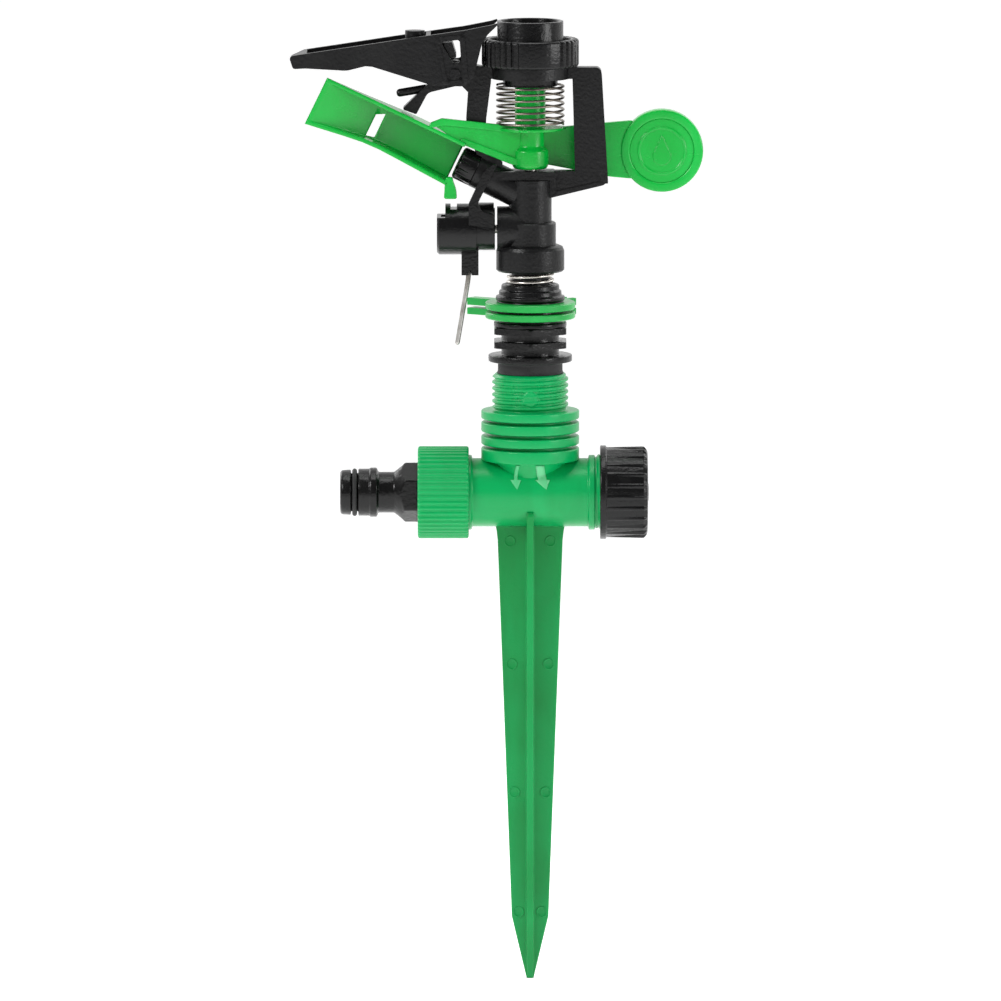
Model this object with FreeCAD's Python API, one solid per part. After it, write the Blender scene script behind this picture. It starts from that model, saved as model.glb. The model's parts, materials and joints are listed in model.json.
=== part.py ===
import FreeCAD, Part
import math
import os

# An impact sprinkler on a spiked T fitting. Millimetres, +Z up.
# The origin is on the riser's axis, level with the underside of the T's tube,
# which is where the ground comes to. The jet leaves towards -X and -Y is the front.

V = FreeCAD.Vector

# Clearances
RUN = 0.05                    # radial clearance of a running fit
SNUG = 0.02                   # space between pieces that are fixed together

# T fitting and spike
TEE_Z = 12.0                  # height of the T's horizontal axis
TEE_R = 11.9
TEE_BORE_R = 8.0
THREAD_R = 13.22              # 3/4 inch hose thread, crest
THREAD_ROOT_R = 12.3
THREAD_PITCH = 2.2
CAP_BORE_R = 13.45            # plain bore that clears the thread crests
LEFT_END = -34.0
RIGHT_END = 36.0
FIN_T = 2.4
SPIKE_TIP_Z = -158.3
FIN_X_TOP, FIN_X_LOW = 11.3, 6.4
FIN_Y_TOP, FIN_Y_LOW = 10.5, 6.0
FIN_LOW_Z = -136.5
SPIGOT_R = 14.2
SPIGOT_RING_R = 17.05
SPIGOT_RINGS = ((23.5, 27.8), (29.0, 32.0), (33.4, 36.75), (37.9, 40.9))
SPIGOT_TOP_Z = 53.7
SOCKET_R = 10.5               # G1/2 socket in the spigot

# Hose side
NOSE_R = 8.2
NIPPLE_BORE_R = 5.5
NUT_R = 16.0
NUT_RIBS = 50
CAP_RIBS = 24

# Bearing sleeve and collars
STEM_R = 6.5
STEM_BORE_R = 4.0
SLEEVE_R = 10.0
HEX_R = 14.2
SEAT_R = 11.4
COLLAR_R = 15.6
EAR_AZIMUTH = 145.0
EAR_R = 25.0

# Head
COLUMN_R = 7.4
SKIRT_R = 11.8
JET_ANGLE = 26.0              # the jet's rise above the horizontal
BRANCH_Z = 115.0              # where the jet's axis crosses the riser's axis
BRANCH_R = 5.9
JET_BORE_R = 3.5
NOZZLE_LENGTH = 27.8          # from the riser's axis to the nozzle's face
NOZZLE_BORE_R = 2.2
FRAME_HALF = 3.0              # half the thickness of the frame's columns
EYE_R = 13.5
EYE_BORE_R = 9.6
PLATFORM_Z = 124.2
FRAME_TOP_Z = 160.2
FRAME_BAR_Z = 156.2
PIN_R = 2.4

# Arm
HUB_R = 5.3
HUB_LOW_R = 6.3
HUB_Z = (124.8, 155.7)
DISC_CENTRE = (45.6, 130.4)
DISC_R = 14.3
DISC_Y = (5.2, 11.4)
RECESS_R = 11.1

# Trip
TRIP_Z = 103.8
BARREL_R = 8.85
BARREL_NECK_R = 7.4
BARREL_BORE_R = 6.0
WIRE_R = 0.85

# Deflector
HINGE = (-26.0, 158.5)
HINGE_PIN_R = 1.3
DEFLECTOR_HALF = 9.5
DEFLECTOR_WALL = 1.6


def rounded_wire(points, radii):
    """A closed outline through points in the XZ plane, each corner turned by an arc of its radius."""
    count = len(points)
    corners = [V(x, 0, z) for x, z in points]
    if not isinstance(radii, (list, tuple)):
        radii = [radii] * count
    edges = []
    starts = []
    ends = []
    for i, corner in enumerate(corners):
        before = corners[i - 1] - corner
        after = corners[(i + 1) % count] - corner
        half = before.getAngle(after) / 2
        reach = min(radii[i] / math.tan(half), 0.48 * before.Length, 0.48 * after.Length)
        reach = reach if reach > 0.02 else 0.0
        before.normalize()
        after.normalize()
        start = corner + before * reach
        end = corner + after * reach
        starts.append(start)
        ends.append(end)
        if reach:
            radius = reach * math.tan(half)
            middle = before + after
            middle.normalize()
            middle = corner + middle * (radius / math.sin(half) - radius)
            edges.append(Part.Arc(start, middle, end).toShape())
    lines = []
    for i in range(count):
        following = starts[(i + 1) % count]
        if (following - ends[i]).Length > 1e-4:
            lines.append(Part.LineSegment(ends[i], following).toShape())
    return Part.Wire(Part.__sortEdges__(edges + lines))


def plate(points, y0, y1, radii=0.0):
    """An outline in the XZ plane, given thickness from y0 to y1."""
    face = Part.Face(rounded_wire(points, radii))
    face.translate(V(0, y0, 0))
    return face.extrude(V(0, y1 - y0, 0))


def plan(points, z0, z1, radii=0.0):
    """An outline in the XY plane, given height from z0 to z1."""
    face = Part.Face(rounded_wire(points, radii))
    face.rotate(V(0, 0, 0), V(1, 0, 0), -90)
    face.translate(V(0, 0, z0))
    return face.extrude(V(0, 0, z1 - z0))


def cyl(radius, z0, z1, x=0.0, y=0.0):
    return Part.makeCylinder(radius, z1 - z0, V(x, y, z0), V(0, 0, 1))


def cyl_x(radius, x0, x1, z=TEE_Z, y=0.0):
    return Part.makeCylinder(radius, x1 - x0, V(x0, y, z), V(1, 0, 0))


def cyl_y(radius, y0, y1, x, z):
    return Part.makeCylinder(radius, y1 - y0, V(x, y0, z), V(0, 1, 0))


def box(x0, x1, y0, y1, z0, z1):
    return Part.makeBox(x1 - x0, y1 - y0, z1 - z0, V(x0, y0, z0))


def turned(profile):
    """A closed profile of (radius, z) turned about the Z axis."""
    points = [V(r, 0, z) for r, z in profile]
    wire = Part.makePolygon(points + [points[0]])
    return Part.Face(wire).revolve(V(0, 0, 0), V(0, 0, 1), 360)


def turned_x(profile, z=TEE_Z):
    """A closed profile of (x, radius) turned about a line along X at height z."""
    points = [V(x, 0, z + r) for x, r in profile]
    wire = Part.makePolygon(points + [points[0]])
    return Part.Face(wire).revolve(V(0, 0, z), V(1, 0, 0), 360)


def hex_prism(radius, height):
    """A six-sided prism on the XY plane, with corners on the X axis."""
    corners = [V(radius * math.cos(math.radians(60 * k)), radius * math.sin(math.radians(60 * k)), 0)
               for k in range(7)]
    return Part.Face(Part.makePolygon(corners)).extrude(V(0, 0, height))


def ribbed_prism(root, crest, count, height, land=0.5):
    """A prism whose rim has count square ribs; land is the share of each pitch a crest takes."""
    pitch = 2 * math.pi / count
    points = []
    for k in range(count):
        for radius, share in ((root, -0.5 * land - 0.1), (crest, -0.5 * land + 0.05),
                              (crest, 0.5 * land - 0.05), (root, 0.5 * land + 0.1)):
            angle = (k + share) * pitch
            points.append(V(radius * math.cos(angle), radius * math.sin(angle), 0))
    return Part.Face(Part.makePolygon(points + [points[0]])).extrude(V(0, 0, height))


def along_x(shape, x, z=TEE_Z):
    """Lay a shape made along Z on the X direction, its base at x."""
    laid = shape.copy()
    laid.rotate(V(0, 0, 0), V(0, 1, 0), 90)
    laid.translate(V(x, 0, z))
    return laid


def coil(mean_r, wire_r, z0, z1, turns):
    """A wire wound about the Z axis, its centre line rising from z0 to z1."""
    path = Part.makeHelix((z1 - z0) / turns, z1 - z0, mean_r)
    section = Part.Wire(Part.makeCircle(wire_r, V(mean_r, 0, 0), V(0, 1, 0)))
    spring = Part.Wire(path).makePipeShell([section], True, True)
    spring.translate(V(0, 0, z0))
    return spring


def fuse(shapes):
    return shapes[0].fuse(shapes[1:])


def thread_profile(start, crests, root, crest):
    """Points of a row of rounded ridges, one to each pitch, from start onwards."""
    points = []
    for k in range(crests):
        base = start + k * THREAD_PITCH
        points += [(base + 0.1, root), (base + 0.75, crest), (base + 1.15, crest), (base + 1.8, root)]
    return points


# T fitting and spike

def spike_fins():
    """Two tapering fins that cross on the axis."""
    fins = []
    for top, low, top_z in ((FIN_X_TOP, FIN_X_LOW, 3.0), (FIN_Y_TOP, FIN_Y_LOW, 6.0)):
        outline = [(top + 1.2, top_z), (top, -4.6), (low, FIN_LOW_Z), (1.5, SPIKE_TIP_Z),
                   (-1.5, SPIKE_TIP_Z), (-low, FIN_LOW_Z), (-top, -4.6), (-top - 1.2, top_z)]
        fins.append(plate(outline, -FIN_T / 2, FIN_T / 2, (0, 6, 20, 1.2, 1.2, 20, 6, 0)))
    fins[1].rotate(V(0, 0, 0), V(0, 0, 1), 90)
    marks = []
    for z, x in ((-5, 7.0), (-48, 6.4), (-93, 5.4), (-135, 4.0)):
        for side in (-1, 1):
            marks.append(cyl_y(2.0, -FIN_T / 2 - 0.2, 0, side * x, z))
    return fins + marks


def tee_tube():
    left = [(LEFT_END, 0), (LEFT_END, THREAD_ROOT_R - 0.5), (LEFT_END + 0.5, THREAD_ROOT_R)]
    left += thread_profile(LEFT_END + 0.5, 5, THREAD_ROOT_R, THREAD_R)
    left += [(-22.5, THREAD_ROOT_R), (-22.5, 13.0), (-20.2, 13.0), (-20.2, TEE_R)]
    right_start = RIGHT_END - 0.4 - 6 * THREAD_PITCH
    right = [(20.2, TEE_R), (20.2, 13.0), (22.4, 13.0), (22.4, THREAD_ROOT_R)]
    right += thread_profile(right_start, 6, THREAD_ROOT_R, THREAD_R)
    right += [(RIGHT_END - 0.3, THREAD_ROOT_R), (RIGHT_END, THREAD_ROOT_R - 0.5), (RIGHT_END, 0)]
    return turned_x(left + right)


def spigot():
    profile = [(0, TEE_Z), (8.8, TEE_Z), (13.6, SPIGOT_RINGS[0][0])]
    for low, high in SPIGOT_RINGS:
        profile += [(SPIGOT_R, low), (SPIGOT_RING_R - 0.5, low), (SPIGOT_RING_R, low + 0.5),
                    (SPIGOT_RING_R, high - 0.5), (SPIGOT_RING_R - 0.5, high), (SPIGOT_R, high)]
    profile.append((SPIGOT_R - 2, SPIGOT_RINGS[-1][1]))
    ridges = thread_profile(SPIGOT_RINGS[-1][1] + 1.3, 5, THREAD_ROOT_R, THREAD_R)
    profile += [(r, z) for z, r in ridges]
    profile += [(THREAD_ROOT_R, SPIGOT_TOP_Z - 0.4), (THREAD_ROOT_R - 0.4, SPIGOT_TOP_Z), (0, SPIGOT_TOP_Z)]
    profile = [point for k, point in enumerate(profile) if k == 0 or point != profile[k - 1]]
    return turned(profile)


def flow_arrows():
    """Two plain arrows that stand a little proud of the tube under the rings."""
    skin = cyl_x(TEE_R + 0.25, -9, 9)
    skin = skin.fuse(Part.makeCone(9.05, 13.95, 11.5, V(0, 0, TEE_Z), V(0, 0, 1)))
    arrows = []
    for x, half, head in ((-5.0, 0.6, 1.9), (4.2, 1.5, 2.6)):
        outline = [(x - half, 22.6), (x + half, 22.6), (x + half, 17.6), (x + head, 17.6),
                   (x, 14.4), (x - head, 17.6), (x - half, 17.6)]
        arrows.append(plate(outline, -13.5, -6.0))
    return [arrow.common(skin) for arrow in arrows]


def spike_body():
    pad = cyl_y(3.0, -13.2, -10.0, 0, 45.7)
    body = fuse([tee_tube(), spigot(), pad] + spike_fins())
    bores = [cyl_x(TEE_BORE_R, LEFT_END - 1, RIGHT_END + 1), cyl(TEE_BORE_R - 0.5, TEE_Z, 40),
             cyl(SOCKET_R, 38, SPIGOT_TOP_Z + 1)]
    for bore in bores:
        body = body.cut(bore)
    for arrow in flow_arrows():
        body = body.fuse(arrow)
    return body


# Hose side: the nut's thread end faces the T

def union_nut():
    blank = along_x(ribbed_prism(NUT_R - 0.5, NUT_R, NUT_RIBS, 17.7), -39.0)
    shell = [(-39.0, 10.55), (-39.0, NUT_R - 1.2), (-38.2, NUT_R), (-22.1, NUT_R), (-21.3, NUT_R - 0.8),
             (-21.3, CAP_BORE_R), (-38.1, CAP_BORE_R), (-38.1, 10.55)]
    return blank.common(turned_x(shell))


def hose_nipple():
    profile = [(-65.9, NIPPLE_BORE_R), (-65.9, 6.9), (-65.2, 7.6), (-62.6, 7.8), (-62.2, 7.8), (-62.2, 6.6),
               (-59.6, 6.6), (-59.6, NOSE_R), (-55.8, NOSE_R), (-55.2, 8.6), (-53.2, 8.6), (-52.6, 7.1),
               (-46.6, 7.1), (-44.4, 8.6), (-39.0, 8.6), (-38.0, 8.6), (-38.0, 12.2), (-35.8, 12.2),
               (-35.8, 7.5), (-20.5, 7.5), (-20.0, 7.0), (-20.0, NIPPLE_BORE_R)]
    nut = along_x(hex_prism(10.3, 5.4), -44.4)
    nut = nut.cut(cyl_x(NIPPLE_BORE_R, -50, -30))
    chamfer = turned_x([(-44.4, 0), (-44.4, 9.2), (-43.4, 10.3), (-39.0, 10.3), (-39.0, 0)])
    return fuse([turned_x(profile), nut.common(chamfer)])


def nipple_o_ring():
    ring = Part.makeTorus(7.45, 0.82, V(-60.9, 0, TEE_Z), V(1, 0, 0))
    return ring


def union_washer():
    return cyl_x(12.0, -35.75, -34.05).cut(cyl_x(7.6, -36, -34))


def end_cap():
    barrel = along_x(ribbed_prism(NUT_R - 0.4, NUT_R, CAP_RIBS, 14.5, 0.22), 26.3)
    outside = turned_x([(26.3, 0), (26.3, NUT_R), (38.9, NUT_R), (40.0, NUT_R - 0.6), (40.8, NUT_R - 1.9),
                        (40.8, 0)])
    rim = cyl_x(16.3, 24.2, 26.4)
    centre = turned_x([(40.0, 0), (41.1, 0), (41.1, 2.6), (40.0, 3.4)])
    return fuse([barrel.common(outside), rim, centre]).cut(cyl_x(CAP_BORE_R, 24.0, 38.3))


def end_cap_washer():
    return cyl_x(12.9, RIGHT_END + 0.1, 38.2).cut(cyl_x(6.5, 36, 39))


# Bearing sleeve and what it carries

def riser_sleeve():
    bore = STEM_R + RUN
    profile = [(bore, 45.0), (9.6, 45.0)]
    profile += [(r, z) for z, r in thread_profile(45.2, 5, 9.6, 10.3)]
    profile += [(9.6, 57.9), (14.1, 57.9), (14.5, 58.3), (14.5, 59.8), (14.1, 60.2), (SLEEVE_R, 60.2),
                (SLEEVE_R, 70.0), (SEAT_R + 1.2, 70.0), (SEAT_R + 1.2, 71.6), (SEAT_R, 71.6), (SEAT_R, 79.0),
                (8.6, 79.0), (8.6, 83.0), (bore, 83.0)]
    body = [turned(profile)]
    for z in (62.9, 67.7):
        nut = hex_prism(HEX_R, 2.2)
        nut.translate(V(0, 0, z))
        rounding = turned([(0, z), (HEX_R - 0.6, z), (HEX_R, z + 0.5), (HEX_R, z + 1.7), (HEX_R - 0.6, z + 2.2),
                           (0, z + 2.2)])
        body.append(nut.common(rounding).cut(cyl(bore, z - 1, z + 4)))
    return fuse(body)


def sleeve_seal():
    return cyl(12.2, 53.75, 57.85).cut(cyl(10.35, 53, 58))


def collar(z0, z1):
    """A friction collar with one long ear and two short ones to squeeze it open by."""
    inner = SEAT_R + RUN
    ring = turned([(inner, z0), (COLLAR_R - 0.4, z0), (COLLAR_R, z0 + 0.4), (COLLAR_R, z1 - 0.4),
                   (COLLAR_R - 0.4, z1), (inner, z1)])
    ear = box(COLLAR_R - 2, EAR_R, -2.5, 2.5, z0, z1)
    ear.rotate(V(0, 0, 0), V(0, 0, 1), EAR_AZIMUTH)
    pieces = [ring, ear]
    for azimuth in (38, 52):
        squeeze = box(COLLAR_R - 2, 19.5, -1.0, 1.0, z0, z1)
        squeeze.rotate(V(0, 0, 0), V(0, 0, 1), azimuth)
        pieces.append(squeeze)
    slot = box(inner - 1, 20.5, -0.5, 0.5, z0 - 1, z1 + 1)
    slot.rotate(V(0, 0, 0), V(0, 0, 1), 45)
    return fuse(pieces).cut(slot)


def trip_collar_lower():
    return collar(72.85, 75.15)


def trip_collar_upper():
    return collar(76.1, 78.6)


def dust_cap():
    profile = [(8.65, 79.05), (11.55, 79.05), (11.95, 79.4), (11.95, 80.7), (11.6, 81.0), (10.5, 81.0),
               (10.5, 83.7), (10.2, 84.0), (9.74, 84.0), (9.74, 86.7), (9.5, 87.0), (8.9, 87.0), (8.9, 84.4),
               (7.0, 84.4), (7.0, 83.1), (8.65, 83.1)]
    return turned(profile)


def stem_spring():
    return coil(7.8, 0.55, 85.1, 92.6, 4)


# Head

def stem_tube():
    profile = [(STEM_BORE_R, 40.6), (8.8, 40.6), (8.8, 42.4), (STEM_R, 42.4), (STEM_R, 104.0),
               (STEM_BORE_R, 104.0)]
    return turned(profile)


def stem_washers():
    pieces = []
    for z in (42.45, 43.65):
        pieces.append(cyl(9.2, z, z + 1.1).cut(cyl(STEM_R + SNUG, z - 1, z + 2)))
    return Part.Compound(pieces)


def jet_point(distance):
    """The point on the jet's axis at a distance from the riser's axis."""
    angle = math.radians(JET_ANGLE)
    return V(-distance * math.cos(angle), 0, BRANCH_Z + distance * math.sin(angle))


def jet_cylinder(radius, start, end):
    direction = jet_point(1) - jet_point(0)
    return Part.makeCylinder(radius, end - start, jet_point(start), direction)


def head_column():
    profile = [(0, 93.6), (9.5, 93.6), (9.5, 89.2), (SKIRT_R - 0.6, 89.2), (SKIRT_R, 89.8), (SKIRT_R, 96.4),
               (SKIRT_R - 0.6, 97.8), (SKIRT_R - 2.0, 98.4), (8.9, 98.4), (8.9, 105.9), (8.4, 106.4),
               (COLUMN_R, 106.4), (COLUMN_R, 121.0), (0, 121.0)]
    return turned(profile)


def head_frame():
    """The bars round the arm's hub, the eye above it and the platform under it."""
    bottom = plate([(-2, 112.6), (3, 113.9), (25.8, 119.4), (26.9, 121.4), (26.6, 124.4), (15.6, PLATFORM_Z),
                    (-2, PLATFORM_Z)], -FRAME_HALF, FRAME_HALF, (0, 3, 2.5, 2, 2, 0, 0))
    slab = plate([(-14.2, 121.3), (8.5, 121.3), (8.5, PLATFORM_Z), (-14.2, PLATFORM_Z)], -6.25, 6.25, 0.5)
    right = plate([(15.6, 119.0), (26.9, 119.9), (26.9, 121), (24.6, FRAME_TOP_Z), (14.3, FRAME_TOP_Z),
                   (14.6, 155.0)], -FRAME_HALF, FRAME_HALF, (0, 0, 4, 3, 0, 0))
    top = plate([(-20.9, FRAME_BAR_Z), (-20.9, FRAME_TOP_Z), (24.6, FRAME_TOP_Z), (24.6, FRAME_BAR_Z)],
                -FRAME_HALF, FRAME_HALF, (0, 1.5, 3, 0))
    left = plate([(-20.9, FRAME_TOP_Z), (-22.3, 141), (-21.2, 135.5), (-17.2, 127.4), (-10, 123.0),
                  (-9.5, 127.0), (-15.0, 136), (-15.4, 141), (-13.6, 155.0), (-13.4, FRAME_TOP_Z)],
                 -FRAME_HALF, FRAME_HALF, (0, 20, 8, 3, 0, 2, 8, 20, 3, 0))
    eye = turned([(0, FRAME_BAR_Z), (EYE_R, FRAME_BAR_Z), (EYE_R, FRAME_TOP_Z), (0, FRAME_TOP_Z)])
    frame = fuse([bottom, slab, right, top, left, eye])
    pocket = plate([(9.0, 117.1), (24.4, 120.6), (24.4, 123.0), (9.0, 123.0)], -9, -FRAME_HALF + 0.7, 0.6)
    return frame.cut(pocket).cut(pocket.mirror(V(0, 0, 0), V(0, 1, 0)))


def hinge_bracket():
    """The ear between the deflector's walls, and the strut that stands over the bucket."""
    x, z = HINGE
    ear = plate([(-13.6, FRAME_TOP_Z), (-27.6, 161.9), (-30.0, 159.6), (-36.6, 153.2), (-44.4, 145.7),
                 (-39.4, 143.9), (-35.4, 151.4), (-24.0, 154.1), (-20.6, 150.6), (-15, 146)],
                -FRAME_HALF, FRAME_HALF, (0, 2.5, 2.5, 2, 0.6, 0.6, 3, 1.2, 4, 0))
    peg = Part.makeCylinder(1.4, 10.4, V(-36.0, 0, 152.7), V(-0.985, 0, -0.17))
    tip_edge = min(peg.Edges, key=lambda edge: edge.BoundBox.XMin + edge.BoundBox.XMax)
    peg = peg.makeFillet(1.2, [tip_edge])
    return fuse([ear, cyl_y(4.0, -FRAME_HALF, FRAME_HALF, x, z), peg])


def trip_boss():
    return cyl_x(7.9, -11.5, -2, TRIP_Z)


def head_body():
    branch = jet_cylinder(BRANCH_R, 0, 21.0)
    body = fuse([head_column(), head_frame(), hinge_bracket(), trip_boss(), branch])
    cuts = [cyl(STEM_R + SNUG, 88, 104.05), cyl(STEM_BORE_R, 104, BRANCH_Z + 1.5),
            cyl(PIN_R + SNUG, 119.5, 125), jet_cylinder(JET_BORE_R, 0, 22), jet_cylinder(4.6, 15.5, 22),
            jet_cylinder(6.15, 21.05, 30), cyl(EYE_BORE_R, 150, 162), cyl_x(1.52, -12, -6.9, TRIP_Z),
            cyl_y(HINGE_PIN_R + SNUG, -9, 9, *HINGE)]
    for shape in cuts:
        body = body.cut(shape)
    return body


def nozzle_tip():
    """A lugged nose whose tail is screwed into the branch."""
    height = NOZZLE_LENGTH - 21.1
    nose = ribbed_prism(5.0, 5.9, 8, height, 0.55)
    collar_ring = cyl(5.75, 0, 1.8)
    tail = Part.makeCylinder(4.55, 6.0, V(0, 0, -5.5), V(0, 0, 1))
    bore = Part.makeCone(JET_BORE_R, NOZZLE_BORE_R, height + 3.0, V(0, 0, -5.6), V(0, 0, 1))
    outlet = cyl(NOZZLE_BORE_R, height - 3.0, height + 1)
    lip = turned([(0, 0), (5.9, 0), (5.9, height - 0.7), (5.2, height), (0, height)])
    tip = fuse([nose.common(lip), collar_ring, tail]).cut(bore).cut(outlet)
    tip.rotate(V(0, 0, 0), V(0, 1, 0), -(90 - JET_ANGLE))
    tip.translate(jet_point(21.1))
    return tip


def arm_pivot_pin():
    return turned([(0, 119.6), (PIN_R, 119.6), (PIN_R, 162.6), (PIN_R - 0.5, 163.1), (0, 163.1)])


def trip_pivot_pin():
    return cyl_x(1.5, -30.5, -7.0, TRIP_Z)


def deflector_pin():
    x, z = HINGE
    end = DEFLECTOR_HALF + 0.35
    shank = cyl_y(HINGE_PIN_R, -end - 0.3, end + 0.3, x, z)
    head = cyl_y(1.9, -end - 0.6, -end, x, z)
    tail = cyl_y(1.9, end, end + 0.6, x, z)
    return fuse([shank, head, tail])


def trip_spring():
    wound = coil(3.6, 0.45, 14.5, 29.0, 6)
    wound.rotate(V(0, 0, 0), V(0, 1, 0), -90)
    wound.translate(V(0, 0, TRIP_Z))
    return wound


# Arm

def bucket_plan(z0, z1):
    """The plan of the bucket between its curved wall and its front rim."""
    return plan([(0.6, -7.4), (23, -7.4), (38.5, 2.0), (54, 7.7), (54, 9.3), (46, 9.2), (34, 8.2), (0.6, 8.2)],
                z0, z1, (0.5, 14, 24, 0.5, 0.5, 8, 12, 0.5))


def bucket():
    """A channel on the jet's line whose back wall crosses to the front at the far end."""
    wall = plan([(0.6, -7.4), (23, -7.4), (38.5, 2.0), (54, 7.7), (54, 9.3), (37.6, 3.6), (22.4, -5.8),
                 (0.6, -5.8)], -12, 9, (0.5, 14, 24, 0.5, 0.5, 24, 14, 0.5))
    top = plate([(0, 6.1), (55, 5.6), (55, 7.2), (0, 7.6)], -12, 10)
    bottom = plate([(0, -8.6), (27, -7.4), (40, -8.6), (55, -10.8), (55, -9.2), (40, -7.1), (27, -6.0),
                    (0, -7.0)], -12, 10, (0, 12, 12, 0, 0, 12, 12, 0))
    flanges = top.fuse(bottom).common(bucket_plan(-12, 9))
    side = plate([(0.6, -8.6), (27, -7.4), (40, -8.6), (53.9, -10.7), (53.2, 7.1), (0.6, 7.6)], -20, 20,
                 (0.6, 12, 12, 1.0, 1.0, 0.6))
    whole = fuse([wall, flanges]).common(side)
    slot = plate([(29.7, -5.2), (32.7, -6.4), (32.7, 2.4), (29.7, 3.8)], -20, 20, 0.7)
    whole = whole.cut(slot)
    face = jet_point(NOZZLE_LENGTH)
    angle = math.radians(JET_ANGLE)
    to_world = FreeCAD.Matrix(-math.cos(angle), 0, math.sin(angle), face.x,
                              0, -1, 0, 0,
                              math.sin(angle), 0, math.cos(angle), face.z,
                              0, 0, 0, 1)
    whole.Placement = FreeCAD.Placement(to_world)
    return whole


def slanted_slab(front, thickness):
    """A slab over the left beam that leans towards the front as it leaves the hub."""
    far = front + 4.8
    return plan([(-2, -front), (-36, -far), (-36, thickness - far), (-2, thickness - front)], 100, 170)


def left_beam():
    outline = [(-2.6, 126.6), (-6.6, 126.6), (-23.9, 134.0), (-34.6, 141.5), (-30.6, 143.0), (-2.6, 139.6)]
    web = plate(outline, -14, 0).common(slanted_slab(3.1, 1.0))
    top = plate([(-2.6, 137.2), (-29.8, 140.5), (-34.9, 139.6), (-34.9, 141.2), (-30.6, 143.0), (-2.6, 139.6)],
                -14, 0, (0, 2, 0, 0, 2, 0))
    low = plate([(-2.6, 125.8), (-6.6, 126.6), (-24.4, 134.2), (-23.6, 136.2), (-2.6, 127.9)], -14, 0)
    rims = top.fuse(low).common(slanted_slab(3.9, 1.7))
    return [web, rims]


def right_slab(front, thickness):
    return plan([(3, front), (34, front + 3.4), (34, front + 3.4 + thickness), (3, front + thickness)], 100, 170)


def right_beam():
    outline = [(3.4, 126.4), (27.8, 121.4), (36, 120.6), (36, 141.0), (27.8, 140.4), (3.4, 138.4)]
    return [plate(outline, 0, 16).common(right_slab(2.4, 2.6))]


def counterweight_cup():
    x, z = DISC_CENTRE
    y0, y1 = DISC_Y
    disc = cyl_y(DISC_R, y0, y1, x, z)
    rim_edges = [edge for edge in disc.Edges if edge.Length > 80]
    disc = disc.makeFillet(0.7, rim_edges)
    return disc.cut(cyl_y(RECESS_R, y0 - 1, y0 + 1.7, x, z)).cut(cyl_y(9.6, y0, y1 - 1.3, x, z))


def arm_hub():
    low, high = HUB_Z
    bore = PIN_R + RUN
    profile = [(bore, low), (HUB_LOW_R - 0.6, low), (HUB_LOW_R, low + 1.2), (HUB_LOW_R, 131.4),
               (HUB_R - 0.5, 132.4), (HUB_R - 0.5, 138.3), (11.4, 138.3), (11.4, 139.3), (HUB_R, 139.3),
               (HUB_R, high - 0.4), (HUB_R - 0.4, high), (bore, high)]
    return turned(profile)


def spring_tabs():
    tabs = []
    for azimuth in (20, 140, 260):
        tab = box(9.0, 12.9, -1.5, 1.5, 138.3, 139.3)
        tab.rotate(V(0, 0, 0), V(0, 0, 1), azimuth)
        tabs.append(tab)
    return tabs


def striker_foot():
    """The foot below the bucket's mouth that meets the reversing lever."""
    return plate([(-29.4, 122.5), (-29.9, 115.0), (-25.3, 115.0), (-25.6, 118.4), (-26.6, 121.0),
                  (-26.9, 122.5)], -8.2, -4.4, (0, 0.9, 0.9, 1.5, 1, 0))


def impact_arm():
    pieces = [arm_hub(), bucket(), striker_foot()] + left_beam() + right_beam() + spring_tabs()
    arm = fuse(pieces + [counterweight_cup()])
    arm = arm.cut(cyl(PIN_R + RUN, 120, 160))
    x, z = DISC_CENTRE
    y0, y1 = DISC_Y
    arm = arm.cut(cyl_y(RECESS_R, y0 - 3, y0 + 1.7, x, z))
    return arm.cut(cyl_y(9.6, y0, y1 - 1.3, x, z))


def arm_spring():
    return coil(11.5, 0.42, 140.2, 153.9, 7.5)


def counterweight_slug():
    x, z = DISC_CENTRE
    y0, y1 = DISC_Y
    return cyl_y(9.5, y0 + 1.8, y1 - 1.4, x, z)


def counterweight_cover():
    """A round cover with one ring and a plain water drop raised on it."""
    x, z = DISC_CENTRE
    y = DISC_Y[0] + 0.6
    cover = cyl_y(RECESS_R - SNUG, y, y + 1.08, x, z)
    ring = cyl_y(8.4, y - 0.35, y + 0.2, x, z).cut(cyl_y(7.6, y - 1, y + 1, x, z))
    drop = plate([(x, z + 5.4), (x - 2.7, z - 0.6), (x, z - 1.0), (x + 2.7, z - 0.6)], y - 0.35, y + 0.2)
    drop = drop.fuse(cyl_y(3.05, y - 0.35, y + 0.2, x, z - 1.9))
    return fuse([cover, ring, drop])


# Spring tension cap

def tension_cap():
    ring = ribbed_prism(16.1, 16.8, 40, 9.5)
    ring.translate(V(0, 0, 160.5))
    outside = turned([(0, 160.5), (16.2, 160.5), (16.8, 161.1), (16.8, 169.4), (16.2, 170.0), (0, 170.0)])
    smooth = cyl(18, 160, 171).cut(cyl(15.9, 160, 171))
    sector = plan([(0, 0), (-6.2, -23), (16.5, -19)], 160, 171)
    grip = ring.common(outside).cut(smooth.common(sector))
    cup = turned([(0, 168.0), (11.45, 168.0), (11.45, 175.6), (11.1, 176.2), (10.0, 176.2), (10.0, 170.2),
                  (0, 170.2)])
    neck = cyl(EYE_BORE_R - RUN, 153.6, 161)
    lugs = []
    for azimuth in (200, 320, 80):
        lug = box(8.2, 10.7, -1.7, 1.7, 152.2, 155.7)
        lug.rotate(V(0, 0, 0), V(0, 0, 1), azimuth)
        lugs.append(lug)
    cap = fuse([grip, cup, neck] + lugs)
    cap = cap.cut(cyl(8.0, 152, 158.0)).cut(cyl(PIN_R + RUN, 157, 163.4))
    well = cyl(14.0, 164.6, 171).cut(cyl(11.45, 164, 172))
    return cap.cut(well)


# Trip

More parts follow.
